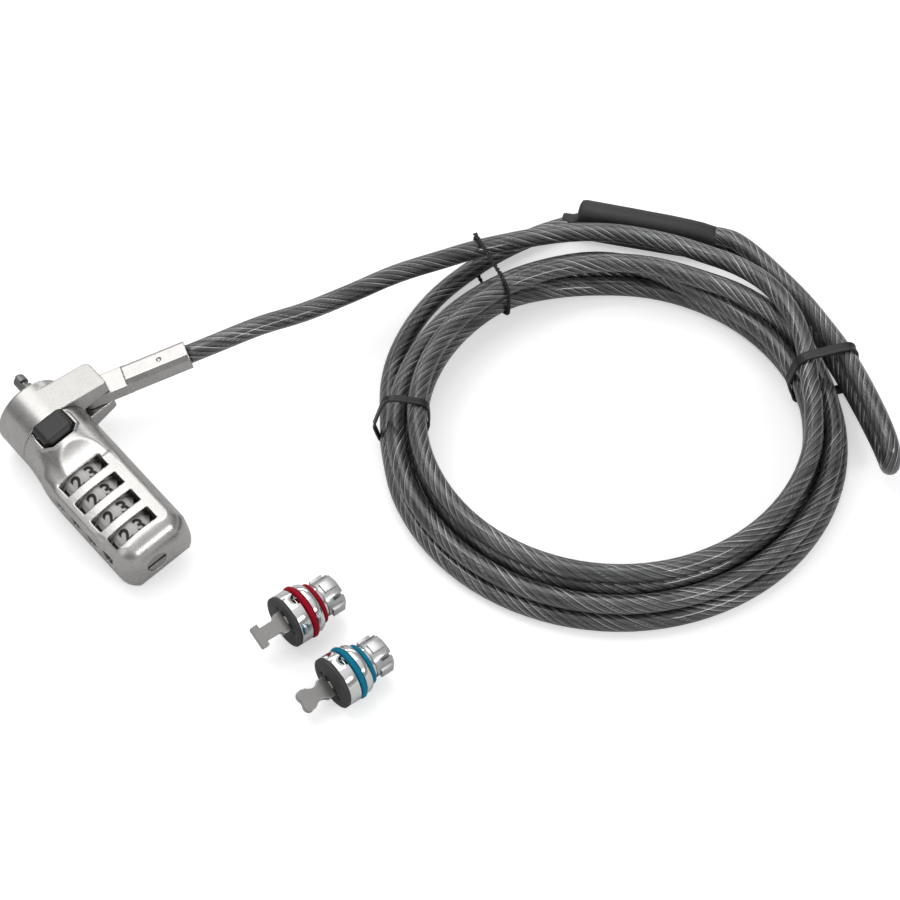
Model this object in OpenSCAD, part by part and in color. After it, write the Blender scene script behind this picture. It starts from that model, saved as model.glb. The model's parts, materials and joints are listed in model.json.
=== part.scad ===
// Keyless laptop cable lock: a combination head on a swivelling collar, its coiled cable with an eye,
// and two loose slot adapters. All sizes are in millimetres.
// The row's origin is the foot of the locking pin, +X runs out along the pin, +Z is up.

/* [Locking pin] */
// Diameter of the locking pin
pin_d = 3.5; // [3.2:0.1:3.7]
// Length of the pin outside the head
pin_len = 8.7; // [8.2:0.1:9]
// Radial depth of the pin's groove
pin_groove = 0.8; // [0.4:0.1:0.9]
// Width of the wedge strip, measured across the pin
wedge_w = 1.3; // [1.1:0.05:1.4]
// Sideways distance from the collar's axis to the pin
pin_shift = 2.65; // [2.5:0.05:2.75]
// Height of the pin over the collar's axis
pin_rise = 2.5; // [2.4:0.05:2.6]
// Roll of the head about its length as it lies
head_roll = 13; // [11:0.5:15]

/* [Swivel collar] */
// Outer diameter of the collar and the neck
collar_d = 20; // [19.8:0.1:20.4]
// Length of the collar
collar_len = 11.5; // [11.2:0.1:11.8]
// Bore of the collar
collar_bore_d = 14; // [13.8:0.1:14.2]
// Diameter of the rear cap
cap_d = 17.2; // [16.8:0.1:17.4]
// Thickness of the rear cap
cap_t = 1.2; // [1:0.1:1.4]
// Distance from the rear face to the clevis boss
boss_start = 2.9; // [2.7:0.1:3.2]
// Distance from the hinge pin to the boss's end
boss_margin = 4.3; // [4:0.1:4.8]
// Taper of each side of the boss
boss_taper = 13.5; // [12.5:0.5:14.5]
// Corner radius of the boss
boss_corner = 1.7; // [1.2:0.1:2]
// Diameter of the hinge pin
hinge_d = 3; // [2.8:0.1:3.2]
// Distance from the collar's axis to the hinge pin
hinge_reach = 14; // [13.8:0.1:14.2]
// Distance from the rear face to the hinge pin
hinge_t = 7.2; // [7:0.1:7.4]

/* [End fitting] */
// Thickness of the tongue
tongue_t = 4; // [3.6:0.1:4.2]
// Width of the tongue
tongue_w = 6.5; // [6.2:0.1:6.6]
// Width and height of the fitting's block
block_w = 6.3; // [6:0.1:6.5]
// Distance from the hinge pin to the block
block_start = 10; // [9.8:0.1:10.4]
// Distance from the hinge pin to the cable's exit
fitting_len = 27.3; // [27:0.1:27.6]
// Swing of the fitting towards the dial end at rest
fitting_swing = 19; // [18:0.5:20]
// Radius of the pressed dimple
dimple_r = 2; // [1.6:0.1:2.4]

/* [Housing] */
// Thickness of the wall between the dials' pocket and the dial end
end_wall = 5; // [4.8:0.1:5.5]
// Height of the flat face over the collar's axis
body_face = 7.9; // [7.8:0.05:8.1]
// Distance from the collar's axis to the flat side
body_side = 11.6; // [11.4:0.1:11.9]
// Radius of the housing's upper corner
corner_top = 3.5; // [3:0.1:4]
// Radius of the housing's lower corner
corner_low = 5.5; // [5:0.1:5.8]
// Radius of the face's slight crown
crown_r = 42.5; // [38:0.5:60]
// Distance from the rear face to the end of the full neck
neck_end = 21.5; // [21:0.1:22]
// Distance from the rear face to the start of the flat face
face_start = 29; // [28.5:0.1:29.5]
// Fillet round the dial end
end_fillet = 4; // [3:0.1:4.2]
// Sweep radius under the dial end
end_sweep = 8; // [7:0.1:8.5]
// Bore of the neck
neck_bore_d = 15.2; // [15:0.1:15.4]

/* [Dials] */
// Distance from the rear face to the first dial's middle
dial_first = 30.4; // [30.3:0.05:30.6]
// Distance between dials
dial_pitch = 7; // [6.9:0.05:7.05]
// Width of a dial ring
dial_w = 5.6; // [5.3:0.1:5.8]
// Distance from a dial's axis to its flats
dial_flat = 6.95; // [6.8:0.05:7]
// Bore of a dial ring
dial_bore_d = 9; // [8.6:0.1:9.4]
// Sideways distance from the collar's axis to the dials' axis
dial_shift = 2.5; // [2.4:0.05:2.6]
// Drop of the dials' axis under the collar's axis
dial_drop = 0.3; // [0.2:0.05:0.4]
// Length of a dial window along the head
window_l = 4.3; // [4:0.1:4.6]
// Width of a front window
window_w = 13; // [12:0.1:13.2]
// Width of a side window
side_window_w = 5.6; // [5:0.1:6]
// Diameter of the spindle
spindle_d = 4.4; // [4.2:0.1:4.6]
// Reach of a spindle fin from the dials' axis
fin_reach = 3.3; // [3.1:0.05:3.4]
// Diameter of the reset screw
screw_d = 5.5; // [5.2:0.1:5.8]
// Travel of the button and the latch
travel = 1.5; // [1.2:0.1:1.6]

/* [Button] */
// Width of the button across the head
button_w = 9.1; // [8.6:0.1:9.4]
// Length of the button along the head
button_l = 7.2; // [7:0.1:7.4]
// Height of the button's top over the collar's axis
button_top = 11; // [10.8:0.1:11.3]
// Width of the button's stem
stem_w = 3.2; // [3:0.1:3.3]

/* [Cable] */
// Diameter of the coated cable
cable_d = 5; // [4.8:0.05:5]
// Distance between neighbouring turns and between layers
coil_pitch = 5.45; // [5.45:0.05:5.6]
// Inner radius of the coil, to the middle of the cable
coil_r = 49.8; // [49.5:0.1:50.2]
// Length of the eye's sleeve
sleeve_len = 37; // [35:0.5:38]
// Width of the eye's sleeve
sleeve_w = 6.8; // [6.6:0.1:7]
// Thickness of the ties round the coil
tie_t = 0.6; // [0.5:0.05:0.65]
// Width of the left tie
band_left_w = 2.1; // [1.6:0.1:3]
// Width of the right tie
band_right_w = 2.8; // [2:0.1:4]

/* [Slot adapters] */
// Diameter of an adapter's sleeve and washer
sleeve_d = 13.8; // [13.4:0.1:14]
// Outer diameter of an adapter's large ring
ring_d = 14.6; // [14.4:0.1:15]
// Outer diameter of an adapter's small ring
small_ring_d = 11.2; // [10.8:0.1:11.6]
// Thickness of a rubber washer
washer_t = 0.8; // [0.6:0.05:1]
// Length of the front sleeve
front_sleeve_l = 3.5; // [3.3:0.1:3.8]
// Width of the large ring
ring_w = 1.8; // [1.6:0.1:2]
// Length of the rear sleeve's drum
rear_sleeve_l = 2.5; // [2.3:0.1:2.8]
// Length of the bayonet socket
socket_l = 5; // [4.8:0.1:5.4]
// Length of a slot bar outside the washer
bar_len = 9.9; // [9.6:0.1:10.2]
// Thickness of a slot bar
bar_t = 2.2; // [1.9:0.1:2.4]
// Width across a slot bar's head
bar_head = 6; // [5.6:0.1:6.4]
// Distance from an adapter's axis to its bar
bar_shift = 1.8; // [1.6:0.05:2]
// Tilt of the bars' heads as the adapters lie
bar_tilt = 25; // [20:1:30]

/* [Hidden] */

// Clearances: a running journal, two sliding faces, and parts that only pass each other.
run_gap = 0.05;
face_gap = 0.1;
free_gap = 0.3;
round_fn = 64;
fine_fn = 32;

// Derived sizes of the head.
collar_r = collar_d / 2;
boss_reach = hinge_reach + boss_margin;
pin_r = pin_d / 2;
neck_start = collar_len + face_gap;
neck_bore_r = neck_bore_d / 2;
core_end = neck_start + 9;
wedge_off = pin_r - wedge_w;
foot_r = pin_r + 0.35;
foot_t = 5;
strip_r = pin_r - 0.25;
slot_lo = -tongue_t / 2 - free_gap;
hinge_v = -0.5;
dial_r = dial_flat / cos(18);
pocket_r = dial_r + free_gap;
dial_v = -dial_drop;
spindle_r = spindle_d / 2;
spacer_t = dial_pitch - dial_w - 2 * face_gap;
pocket_end = dial_first + 3 * dial_pitch + dial_w / 2 + face_gap;
body_end = pocket_end + end_wall;
retainer_t = 1.4;
retainer_end = dial_first - dial_w / 2 - face_gap;
retainer_start = retainer_end - retainer_t;
window_mid = 2.5;
side_window_v = 1.7;
fin_t = 1;
relief_l = fin_t + travel + 2 * free_gap;
relief_r = fin_reach + free_gap;
gate_w = 1.8;
fin_w = 1.2;
slider_start = 14.5;
slider_end = 20.5;
stem_mid = 1.3;
stem_t0 = 13.6;
stem_t1 = 16.6;
button_t0 = neck_start + 0.15;
button_mid = 0.25;
button_low = 8.2;
recess_floor = button_low - travel - face_gap;
rim_low = body_face + 1.4;
over = 5;
spring_t = 15.3;
spring_u = -2.9;
spring_seat_v = 4.6;
screw_r = screw_d / 2;
flange_r = screw_r + 0.65;
flange_t = 1.65;

// The floor the parts lie on, from the roll of the head.
floor_z = -(pin_shift * sin(head_roll) + pin_rise * cos(head_roll)) - collar_r;

// Derived sizes of the cable. Its route points are [x, y, height over the floor].
cable_r = cable_d / 2;
cable_sides = 8;
coil_x = -96.3;
coil_y = -113.1;
coil_start = -125;
coil_low = tie_t + cable_r + 0.15;
coil_top = coil_low + 2 * coil_pitch;
sleeve_half_h = 2.4;
strand_gap = 0.6;
sleeve_mid = coil_low + (cable_d + strand_gap) / 2;

// Functions for swept tubes.
function unit(v) = v / norm(v);
function lifted(p) = [p[0], p[1], p[2] + floor_z];
function polar(az, r, h) = [coil_x + r * cos(az), coil_y + r * sin(az), h];
function blend(p, i, f) =
  let (n = len(p) - 1, a = p[max(i - 1, 0)], b = p[i], c = p[i + 1], d = p[min(i + 2, n)])
  0.5 * (2 * b + (c - a) * f + (2 * a - 5 * b + 4 * c - d) * f * f + (3 * b - a - 3 * c + d) * f * f * f);
function route(p, steps) =
  concat([for (i = [0:len(p) - 2]) for (k = [0:steps - 1]) blend(p, i, k / steps)], [p[len(p) - 1]]);
function ring_at(p, i, r, sides, side_ref) =
  let (n = len(p) - 1, t = unit(p[min(i + 1, n)] - p[max(i - 1, 0)]),
       s = unit(cross(side_ref, t)), b = cross(t, s))
  [for (k = [0:sides - 1]) p[i] + r * (cos(360 * k / sides) * s + sin(360 * k / sides) * b)];

// The coil winds down through five places in its bundle, each [radial offset, layer].
// A turn takes less than a full circle, so that the changes of place do not meet.
turn_places = [[1, 2], [6.4, 1], [0.8, 1], [2.2, 0], [7.8, 0]];
turn_angle = 324;
change_angle = [0, 44, 32, 32, 32];
coil_angle = 5 * turn_angle;
function ease(f) = let (g = min(max(f, 0), 1)) g * g * (3 - 2 * g);
function place(k) = [turn_places[k][0], turn_places[k][1] * coil_pitch];
function between(a, b, f) = a + f * (b - a);
// From one place to another round a third one.
function round_place(a, b, c, f) =
  let (angle = between(atan2(a[1] - c[1], a[0] - c[0]), atan2(b[1] - c[1], b[0] - c[0]), f),
       far = between(norm(a - c), norm(b - c), f) + 0.4 * sin(180 * f))
  c + far * [cos(angle), sin(angle)];
function bundle_place(s) =
  let (k = min(floor(s / turn_angle + 0.5), 4))
  k < 1 ? place(0) :
  let (f = ease((s - k * turn_angle) / change_angle[k] + 0.5))
  k == 1 ? round_place(place(0), place(1), place(2), f) : between(place(k - 1), place(k), f);
function coil_point(s) =
  let (q = bundle_place(s))
  lifted(polar(coil_start - s, coil_r + q[0], coil_low + q[1]));
coil_loops = [for (k = [0:coil_angle / 15]) coil_point(15 * k)];
coil_in_way = unit(coil_point(0) - coil_point(-1));
coil_out_way = unit(coil_point(coil_angle + 1) - coil_point(coil_angle));
coil_in = coil_point(0) - cable_d * coil_in_way;
coil_out = coil_point(coil_angle) + cable_d * coil_out_way;
coil_path = concat([coil_in], coil_loops, [coil_out]);
coil_gap = min([for (i = [0:len(coil_loops) - 1]) for (j = [i + 8:1:len(coil_loops) - 1])
  norm(coil_loops[i] - coil_loops[j])]) - cable_d;
echo(least_gap_in_coil = coil_gap);

// The head's frame: its children are drawn as [height, side, distance from the collar's rear face].
module in_head()
  rotate([-head_roll, 0, 0])
    translate([0, pin_shift, -pin_rise])
      rotate([0, -90, 0])
        children();

// Hinge and cable exit in the row's frame.
function from_head(p) =
  let (y = pin_shift + p[1], z = -pin_rise + p[0])
  [-p[2], y * cos(head_roll) + z * sin(head_roll), z * cos(head_roll) - y * sin(head_roll)];
function fitting_point(r) =
  from_head([hinge_v, -hinge_reach - r * cos(fitting_swing), hinge_t + r * sin(fitting_swing)]);
exit_point = fitting_point(fitting_len);
exit_way = unit(fitting_point(fitting_len) - fitting_point(0));

// Points given as [azimuth, distance outside coil_r, height over the lowest turn].
function around(points) = [for (q = points) lifted(polar(q[0], coil_r + q[1], coil_low + q[2]))];

// Route of the lead, from the fitting over the tail, then over the first turn as that dives, and into the top layer.
top = coil_top - coil_low;
lead_points = concat(
  [exit_point, exit_point + 8 * exit_way],
  [for (p = [[-21.5, -56, 21], [-24.3, -68, 20.2], [-25.6, -82, 18.6], [-26.4, -96, 16.9],
             [-27.8, -110, 13.9], [-30.3, -123, 12]]) lifted(p)],
  around([[-25, 13.9, top - 1.5], [-38, 12.2, top - 0.8], [-52, 10.4, top - 0.4], [-64, 9, top + 0.7],
          [-74, 8.3, top + 2.4], [-84, 7.2, top + 3.9], [-94, 5.9, top + 3.5], [-104, 4.2, top + 1.4]]),
  [coil_in - cable_d * coil_in_way, coil_in]);
lead_path = route(lead_points, 4);

// Axis of the eye's sleeve, laid along the coil's outside.
sleeve_a = polar(-32.3, coil_r + 23.9, 0);
sleeve_way = unit(polar(-63.7, coil_r + 21.35, 0) - sleeve_a);
sleeve_b = sleeve_a + sleeve_len * sleeve_way;
function on_sleeve(end, ahead, h) = lifted(end + ahead * sleeve_way + [0, 0, coil_low + h]);

// Route of the tail, from the coil's lowest layer under the lead, and straight into the sleeve.
tail_points = concat(
  [coil_out, coil_out + cable_d * coil_out_way],
  around([[34, 11, 0], [24, 13.1, 0], [14, 15, 0], [4, 16.8, 0], [-6, 18.5, 0], [-14.2, 20.4, 0], [-23.3, 22.7, 0]]),
  [on_sleeve(sleeve_a, -2, 0)]);
tail_path = concat(route(tail_points, 3), [on_sleeve(sleeve_a, 0, 0)]);

// Route of the eye: out along the floor, round its tip and back over itself to the sleeve.
eye_up = cable_d + strand_gap;
eye_points = concat(
  [on_sleeve(sleeve_b, 0, 0), on_sleeve(sleeve_b, 2.5, 0)],
  around([[-66.5, 21.5, 0], [-71.1, 20.2, 0], [-78.1, 17.55, 0], [-90, 15, 0], [-101, 14, 0.2], [-111, 14, 0.9],
          [-120, 15, 2], [-127.5, 16.8, 3.1], [-132.6, 18.6, 3.9], [-136.2, 20, 4.7], [-138.8, 20.9, 6.1],
          [-139.9, 21.1, 9.2], [-138.8, 20.6, 12.3], [-136.2, 19.2, 13.8], [-131.5, 17, 14.3],
          [-124.5, 14.6, 14], [-116.5, 13.1, 12.9], [-108, 12.6, 11.3], [-99, 12.9, 9.6], [-89, 14.7, 7.7],
          [-78.1, 17.5, eye_up + 0.7], [-71.1, 20.1, eye_up + 0.1], [-66.5, 21.5, eye_up]]),
  [on_sleeve(sleeve_b, 2.5, eye_up), on_sleeve(sleeve_b, 0, eye_up)]);
eye_path = route(eye_points, 3);

zinc = [0.62, 0.62, 0.63];
steel = [0.42, 0.42, 0.43];
chrome = [0.75, 0.75, 0.77];
black = [0.07, 0.07, 0.08];
white = [0.88, 0.88, 0.86];
red = [0.6, 0.05, 0.07];
blue = [0.05, 0.3, 0.42];
smoke = [0.25, 0.26, 0.29];

// Drawn in [side, length] and given a thickness along the height.
module along_height(h)
  translate([-h / 2, 0, 0])
    rotate([90, 0, 90])
      linear_extrude(h)
        children();

// Drawn in [height, length] and given a thickness along the side direction.
module along_side(w)
  translate([0, w / 2, 0])
    rotate([90, 0, 0])
      linear_extrude(w)
        children();

// A rectangle whose four corners have their own radii.
function without_repeats(p) =
  [for (i = [0:len(p) - 1]) if (norm(p[i] - p[(i + 1) % len(p)]) > 0.001) p[i]];
module panel(lo, hi, r00, r10, r11, r01) {
  polygon(without_repeats([
    [lo[0] + r00, lo[1]], [hi[0] - r10, lo[1]], [hi[0], lo[1] + r10], [hi[0], hi[1] - r11],
    [hi[0] - r11, hi[1]], [lo[0] + r01, hi[1]], [lo[0], hi[1] - r01], [lo[0], lo[1] + r00]]));
  if (r00 > 0) translate([lo[0] + r00, lo[1] + r00]) circle(r00, $fn = fine_fn);
  if (r10 > 0) translate([hi[0] - r10, lo[1] + r10]) circle(r10, $fn = fine_fn);
  if (r11 > 0) translate([hi[0] - r11, hi[1] - r11]) circle(r11, $fn = fine_fn);
  if (r01 > 0) translate([lo[0] + r01, hi[1] - r01]) circle(r01, $fn = fine_fn);
}

// A cylinder along the head's length, from one distance to another.
module drum(r, t0, t1, fn = round_fn)
  translate([0, 0, t0])
    cylinder(r = r, h = t1 - t0, $fn = fn);

// A box given by two opposite corners.
module block(lo, hi)
  translate(lo)
    cube(hi - lo);

// Moves its children to an axis given by height and side.
module at_pin() translate([pin_rise, -pin_shift, 0]) children();
module at_dials() translate([dial_v, dial_shift, 0]) children();

// The part of the pin's circle that the wedge strip fills.
module wedge_section(r, off)
  intersection() {
    circle(r, $fn = fine_fn);
    translate([-r - 1, off]) square([2 * r + 2, r + 1]);
  }

// The foot of the pin, cut flat where the strip slides.
module foot_section()
  intersection() {
    circle(foot_r, $fn = fine_fn);
    translate([-foot_r - 1, -foot_r - 1]) square([2 * foot_r + 2, foot_r + 1 + wedge_off]);
  }

// ---- Collar and fitting ----

module swivel_collar() {
  tangent_v = collar_r * cos(boss_taper);
  tangent_u = collar_r * sin(boss_taper);
  end_v = tangent_v - (boss_reach - tangent_u) * tan(boss_taper);
  color(zinc) in_head() difference() {
    union() {
      rotate_extrude($fn = 96)
        polygon([[0, 0], [collar_r - 0.4, 0], [collar_r, 0.4], [collar_r, collar_len], [0, collar_len]]);
      intersection() {
        translate([0, 0, boss_start])
          linear_extrude(collar_len - boss_start)
            polygon([[0, 0], [tangent_v, -tangent_u], [end_v, -boss_reach], [-end_v, -boss_reach],
                     [-tangent_v, -tangent_u]]);
        along_height(4 * collar_r)
          panel([-boss_reach, boss_start], [collar_r, collar_len], boss_corner, 0, 0, 0.6);
      }
    }
    drum(collar_bore_d / 2, -1, collar_len + 1, 96);
    drum(cap_d / 2 + face_gap, -1, cap_t + face_gap, 96);
    block([hinge_v + slot_lo, -boss_reach - 1, -1],
          [hinge_v - slot_lo, -hinge_reach + tongue_w / 2 + free_gap + 0.25, collar_len + 1]);
    translate([hinge_v, -hinge_reach, hinge_t])
      rotate([0, 90, 0])
        translate([0, 0, -20])
          cylinder(d = hinge_d, h = 20 + 5.7, $fn = fine_fn);
  }
}

module hinge_pin()
  color(steel) in_head()
    translate([hinge_v, -hinge_reach, hinge_t])
      rotate([0, 90, 0])
        translate([0, 0, -5.9])
          cylinder(d = hinge_d, h = 5.9 + 5.7, $fn = fine_fn);

// The fitting's frame has its hinge at the origin and the cable leaving along -Y.
module in_fitting()
  in_head()
    translate([hinge_v, -hinge_reach, hinge_t])
      rotate([-fitting_swing, 0, 0])
        children();

module end_fitting()
  color(zinc) in_fitting() difference() {
    union() {
      along_height(tongue_t) {
        circle(d = tongue_w, $fn = round_fn);
        translate([-block_start - 1, -tongue_w / 2]) square([block_start + 1, tongue_w]);
      }
      translate([0, -block_start, 0])
        rotate([90, 0, 0])
          linear_extrude(fitting_len - block_start)
            polygon([for (q = [0:3]) for (e = [[1, 0.62], [0.62, 1]])
              block_w / 2 * [e[0] * cos(90 * q) - e[1] * sin(90 * q), e[0] * sin(90 * q) + e[1] * cos(90 * q)]
            ]);
    }
    rotate([0, 90, 0])
      translate([0, 0, -tongue_t])
        cylinder(d = hinge_d + 2 * run_gap, h = 2 * tongue_t, $fn = fine_fn);
    translate([block_w / 2 + dimple_r * 0.6, -19.8, 0])
      sphere(r = dimple_r, $fn = fine_fn);
  }

// ---- Housing ----

// The housing's section about the collar's axis, in [height, side].
low_u = body_side - corner_low;
low_v = -(collar_r - corner_low - low_u * sin(head_roll)) / cos(head_roll);
top_u = body_side - corner_top;
top_v = body_face - corner_top;
module body_section() {
  face_u = sqrt(collar_r * collar_r - body_face * body_face);
  intersection() {
    union() {
      circle(collar_r, $fn = 96);
      translate([low_v, low_u]) circle(corner_low, $fn = round_fn);
      translate([top_v, top_u]) circle(corner_top, $fn = round_fn);
      polygon([[body_face, -face_u], [body_face, top_u], [top_v, top_u], [top_v, body_side],
               [low_v, body_side], [low_v, low_u],
               [low_v - corner_low * cos(head_roll), low_u + corner_low * sin(head_roll)],
               [-collar_r * cos(head_roll), collar_r * sin(head_roll)], [0, 0]]);
    }
    translate([body_face - crown_r, 1]) circle(crown_r, $fn = 360);
  }
}

// The housing seen from the cable side, in [height, length].
module body_profile() {
  drop = collar_r - body_face;
  run = face_start - neck_end;
  dish_r = (run * run + drop * drop) / (2 * drop);
  difference() {
    panel([-collar_r - 1, neck_start], [collar_r + 0.001, body_end], 0, 0, 0, 0);
    translate([body_face + dish_r, face_start]) circle(dish_r, $fn = 180);
    translate([body_face, face_start]) square([5, 40]);
  }
}

module body_end_mask()
  panel([-collar_r, 0], [body_face + 0.5, body_end], 0, 0, end_fillet, end_sweep);

module lock_shell() {
  intersection() {
    drum(collar_r, neck_start, face_start + 0.5, 96);
    along_side(60) body_profile();
  }
  // The flanks widen from the round neck to the flat side.
  intersection() {
    translate([0, 0, neck_start + 1.2]) linear_extrude(20) body_section();
    translate([0, 0, neck_start + 1.2])
      cylinder(r1 = collar_r + 0.01, r2 = collar_r + 20 * 0.131, h = 20, $fn = 96);
  }
  intersection() {
    translate([0, 0, neck_end]) linear_extrude(body_end - neck_end) body_section();
    along_side(60) body_end_mask();
    along_height(60) panel([-collar_r, neck_end], [body_side, body_end], 0, 5, end_fillet, end_fillet);
  }
}

module dial_windows()
  for (i = [0:3]) {
    t = dial_first + i * dial_pitch;
    block([0, window_mid - window_w / 2, t - window_l / 2], [15, window_mid + window_w / 2, t + window_l / 2]);
    block([side_window_v - side_window_w / 2, dial_shift + 4, t - window_l / 2],
          [side_window_v + side_window_w / 2, 20, t + window_l / 2]);
  }

module button_plan(grow) {
  w = button_w / 2 + grow;
  t1 = button_t0 + button_l + grow;
  polygon([[button_mid - w, button_t0 - grow - 0.5 * grow], [button_mid + w, button_t0 - grow - 0.5 * grow],
           [button_mid + w, t1 - 1.8], [button_mid + w - 1.6, t1], [button_mid - w + 1.6, t1],
           [button_mid - w, t1 - 1.8]]);
}

module lock_body()
  color(zinc) in_head() difference() {
    lock_shell();
    drum(neck_bore_r, 0, retainer_start + 1.1, round_fn);
    at_dials() drum(pocket_r, core_end + 0.6, pocket_end);
    at_dials() drum(flange_r + run_gap, pocket_end - 1, pocket_end + flange_t + 0.35);
    at_dials() drum(screw_r + run_gap, pocket_end, body_end + 1);
    dial_windows();
    // Channel for the detent spring, beside the dials.
    block([dial_v - 1.4, dial_shift - pocket_r - 1.6, retainer_end],
          [dial_v + 1.4, dial_shift - 5, pocket_end]);
    // Recess for the button, with a sloped rim.
    translate([recess_floor + over, 0, 0]) along_height(2 * over) button_plan(free_gap);
    intersection() {
      translate([rim_low + over, 0, 0]) along_height(2 * over) button_plan(3 * free_gap);
      drum(2 * collar_r, neck_start, 2 * face_start);
    }
    // Small recess beside the reset screw.
    translate([body_face - 2.4, body_side - 3.8, body_end - 1.2])
      cylinder(d = 1.5, h = 1.2 + over, $fn = fine_fn);
  }

module swivel_core()
  color(steel) in_head() difference() {
    union() {
      drum(collar_bore_d / 2 - run_gap, cap_t, neck_start);
      drum(neck_bore_r, neck_start, core_end);
    }
    at_pin() drum(foot_r, 0, foot_t, fine_fn);
    at_pin() linear_extrude(slider_start + 1) wedge_section(strip_r + face_gap, wedge_off - face_gap);
    // Channel for the slider, open towards the dials.
    block([-2.9, -2.75, slider_start - 1], [4.5, 5.2, core_end + 1]);
    // Slot for the button's stem and the recess for the button itself.
    block([0, stem_mid - stem_w / 2 - free_gap, stem_t0 - free_gap],
          [neck_bore_r + 1, stem_mid + stem_w / 2 + free_gap, stem_t1 + free_gap]);
    translate([recess_floor + over, 0, 0]) along_height(2 * over) button_plan(free_gap);
    translate([spring_seat_v, spring_u, spring_t])
      rotate([0, 90, 0]) cylinder(r = 1.35, h = 6, $fn = fine_fn);
  }

module rear_cap()
  color(steel) in_head() difference() {
    rotate_extrude($fn = 96)
      polygon([[0, 0], [cap_d / 2 - 0.25, 0], [cap_d / 2, 0.25], [cap_d / 2, cap_t], [0, cap_t]]);
    at_pin() translate([0, 0, -1]) linear_extrude(cap_t + 2) {
      foot_section();
      wedge_section(pin_r + face_gap, wedge_off - face_gap);
    }
  }

module locking_pin()
  color(steel) in_head() at_pin() {
    linear_extrude(foot_t) foot_section();
    difference() {
      rotate_extrude($fn = fine_fn)
        polygon([[0, 1], [pin_r, 1], [pin_r, -pin_len * 0.5], [pin_r - pin_groove, -pin_len * 0.5 - 0.3],
                 [pin_r - pin_groove, -pin_len * 0.66], [pin_r, -pin_len * 0.66 - 0.2], [pin_r, -pin_len + 0.7],
                 [pin_r - 0.7, -pin_len], [0, -pin_len]]);
      translate([-pin_d, wedge_off, -pin_len - 1]) cube([2 * pin_d, pin_d, pin_len + 3]);
    }
  }

// A strip that is thinner inside the head than along the pin.
module pin_wedge()
  color(steel) in_head() at_pin()
    intersection() {
      rotate_extrude($fn = fine_fn)
        polygon([[0, slider_start], [strip_r, slider_start], [strip_r, 0], [pin_r, 0], [pin_r, -pin_len + 1],
                 [pin_r - 0.7, -pin_len + 0.3], [0, -pin_len + 0.3]]);
      translate([-pin_d, wedge_off + run_gap, -pin_len]) cube([2 * pin_d, pin_d, 3 * pin_len]);
    }

module latch_slider()
  color(steel) in_head() {
    block([0.4, -2.4, slider_start], [4.1, stem_mid - stem_w / 2 - 0.2, slider_end]);
    // The sloped face that the stem pushes.
    translate([0, (stem_mid - stem_w / 2 - 0.2 + 4.9) / 2, 0])
      along_side(4.9 - (stem_mid - stem_w / 2 - 0.2))
        polygon([[-2.5, slider_start], [0.4, slider_start], [2.95, slider_start + 2.55], [2.95, slider_end],
                 [-2.5, slider_end]]);
  }

module spindle()
  color(steel) in_head() at_dials() {
    drum(spindle_r, slider_end, pocket_end + 0.9, fine_fn);
    for (i = [0:3])
      block([0, -fin_w / 2, dial_first + i * dial_pitch - relief_l / 2 + free_gap],
            [fin_reach, fin_w / 2, dial_first + i * dial_pitch - relief_l / 2 + free_gap + fin_t]);
  }

// The fins pass through a slot of this shape when the pack is put together.
module fin_slot(t0, t1)
  block([0, -gate_w / 2, t0], [relief_r, gate_w / 2, t1]);

module dial_retainer()
  color(steel) in_head() at_dials() difference() {
    drum(pocket_r, retainer_start, retainer_end);
    drum(spindle_r + run_gap, retainer_start - 1, retainer_end + 1, fine_fn);
    fin_slot(retainer_start - 1, retainer_end + 1);
  }

// ---- Dials ----

module dial_ring(i) {
  t = dial_first + i * dial_pitch;
  color(white) in_head() at_dials() difference() {
    translate([0, 0, t - dial_w / 2]) cylinder(r = dial_r, h = dial_w, $fn = 10);
    drum(dial_bore_d / 2, t - dial_w, t + dial_w);
  }
}

module code_hub(i) {
  t = dial_first + i * dial_pitch;
  color(steel) in_head() at_dials() difference() {
    drum(dial_bore_d / 2, t - dial_w / 2, t + dial_w / 2);
    drum(spindle_r + run_gap, t - dial_w, t + dial_w, fine_fn);
    drum(relief_r, t - relief_l / 2, t + relief_l / 2, fine_fn);
    fin_slot(t - dial_w, t + dial_w);
  }
}

module dial_spacer(i) {
  t = dial_first + (i + 0.5) * dial_pitch;
  color(steel) in_head() at_dials() difference() {
    drum(pocket_r, t - spacer_t / 2, t + spacer_t / 2);
    drum(spindle_r + run_gap, t - dial_w, t + dial_w, fine_fn);
    fin_slot(t - dial_w, t + dial_w);
    block([-1.6, -pocket_r - 1, t - dial_w], [1.6, -pocket_r + 0.8, t + dial_w]);
  }
}

// A leaf with one bump per dial, seated on the floor of its channel.
module detent_spring() {
  foot = dial_shift - pocket_r - 1.6;
  color(steel) in_head()
    translate([dial_v, 0, 0])
      along_height(2.4)
        polygon(concat(
          [[foot, pocket_end - 0.2], [foot, retainer_end + 0.2], [foot + 0.4, retainer_end + 0.2]],
          [for (i = [0:3]) each [
            [foot + 0.4, dial_first + i * dial_pitch - 1.9], [foot + 1.45, dial_first + i * dial_pitch - 0.6],
            [foot + 1.45, dial_first + i * dial_pitch + 0.6], [foot + 0.4, dial_first + i * dial_pitch + 1.9]]],
          [[foot + 0.4, pocket_end - 0.2]]));
}

// ---- Button, springs and reset screw ----

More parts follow.
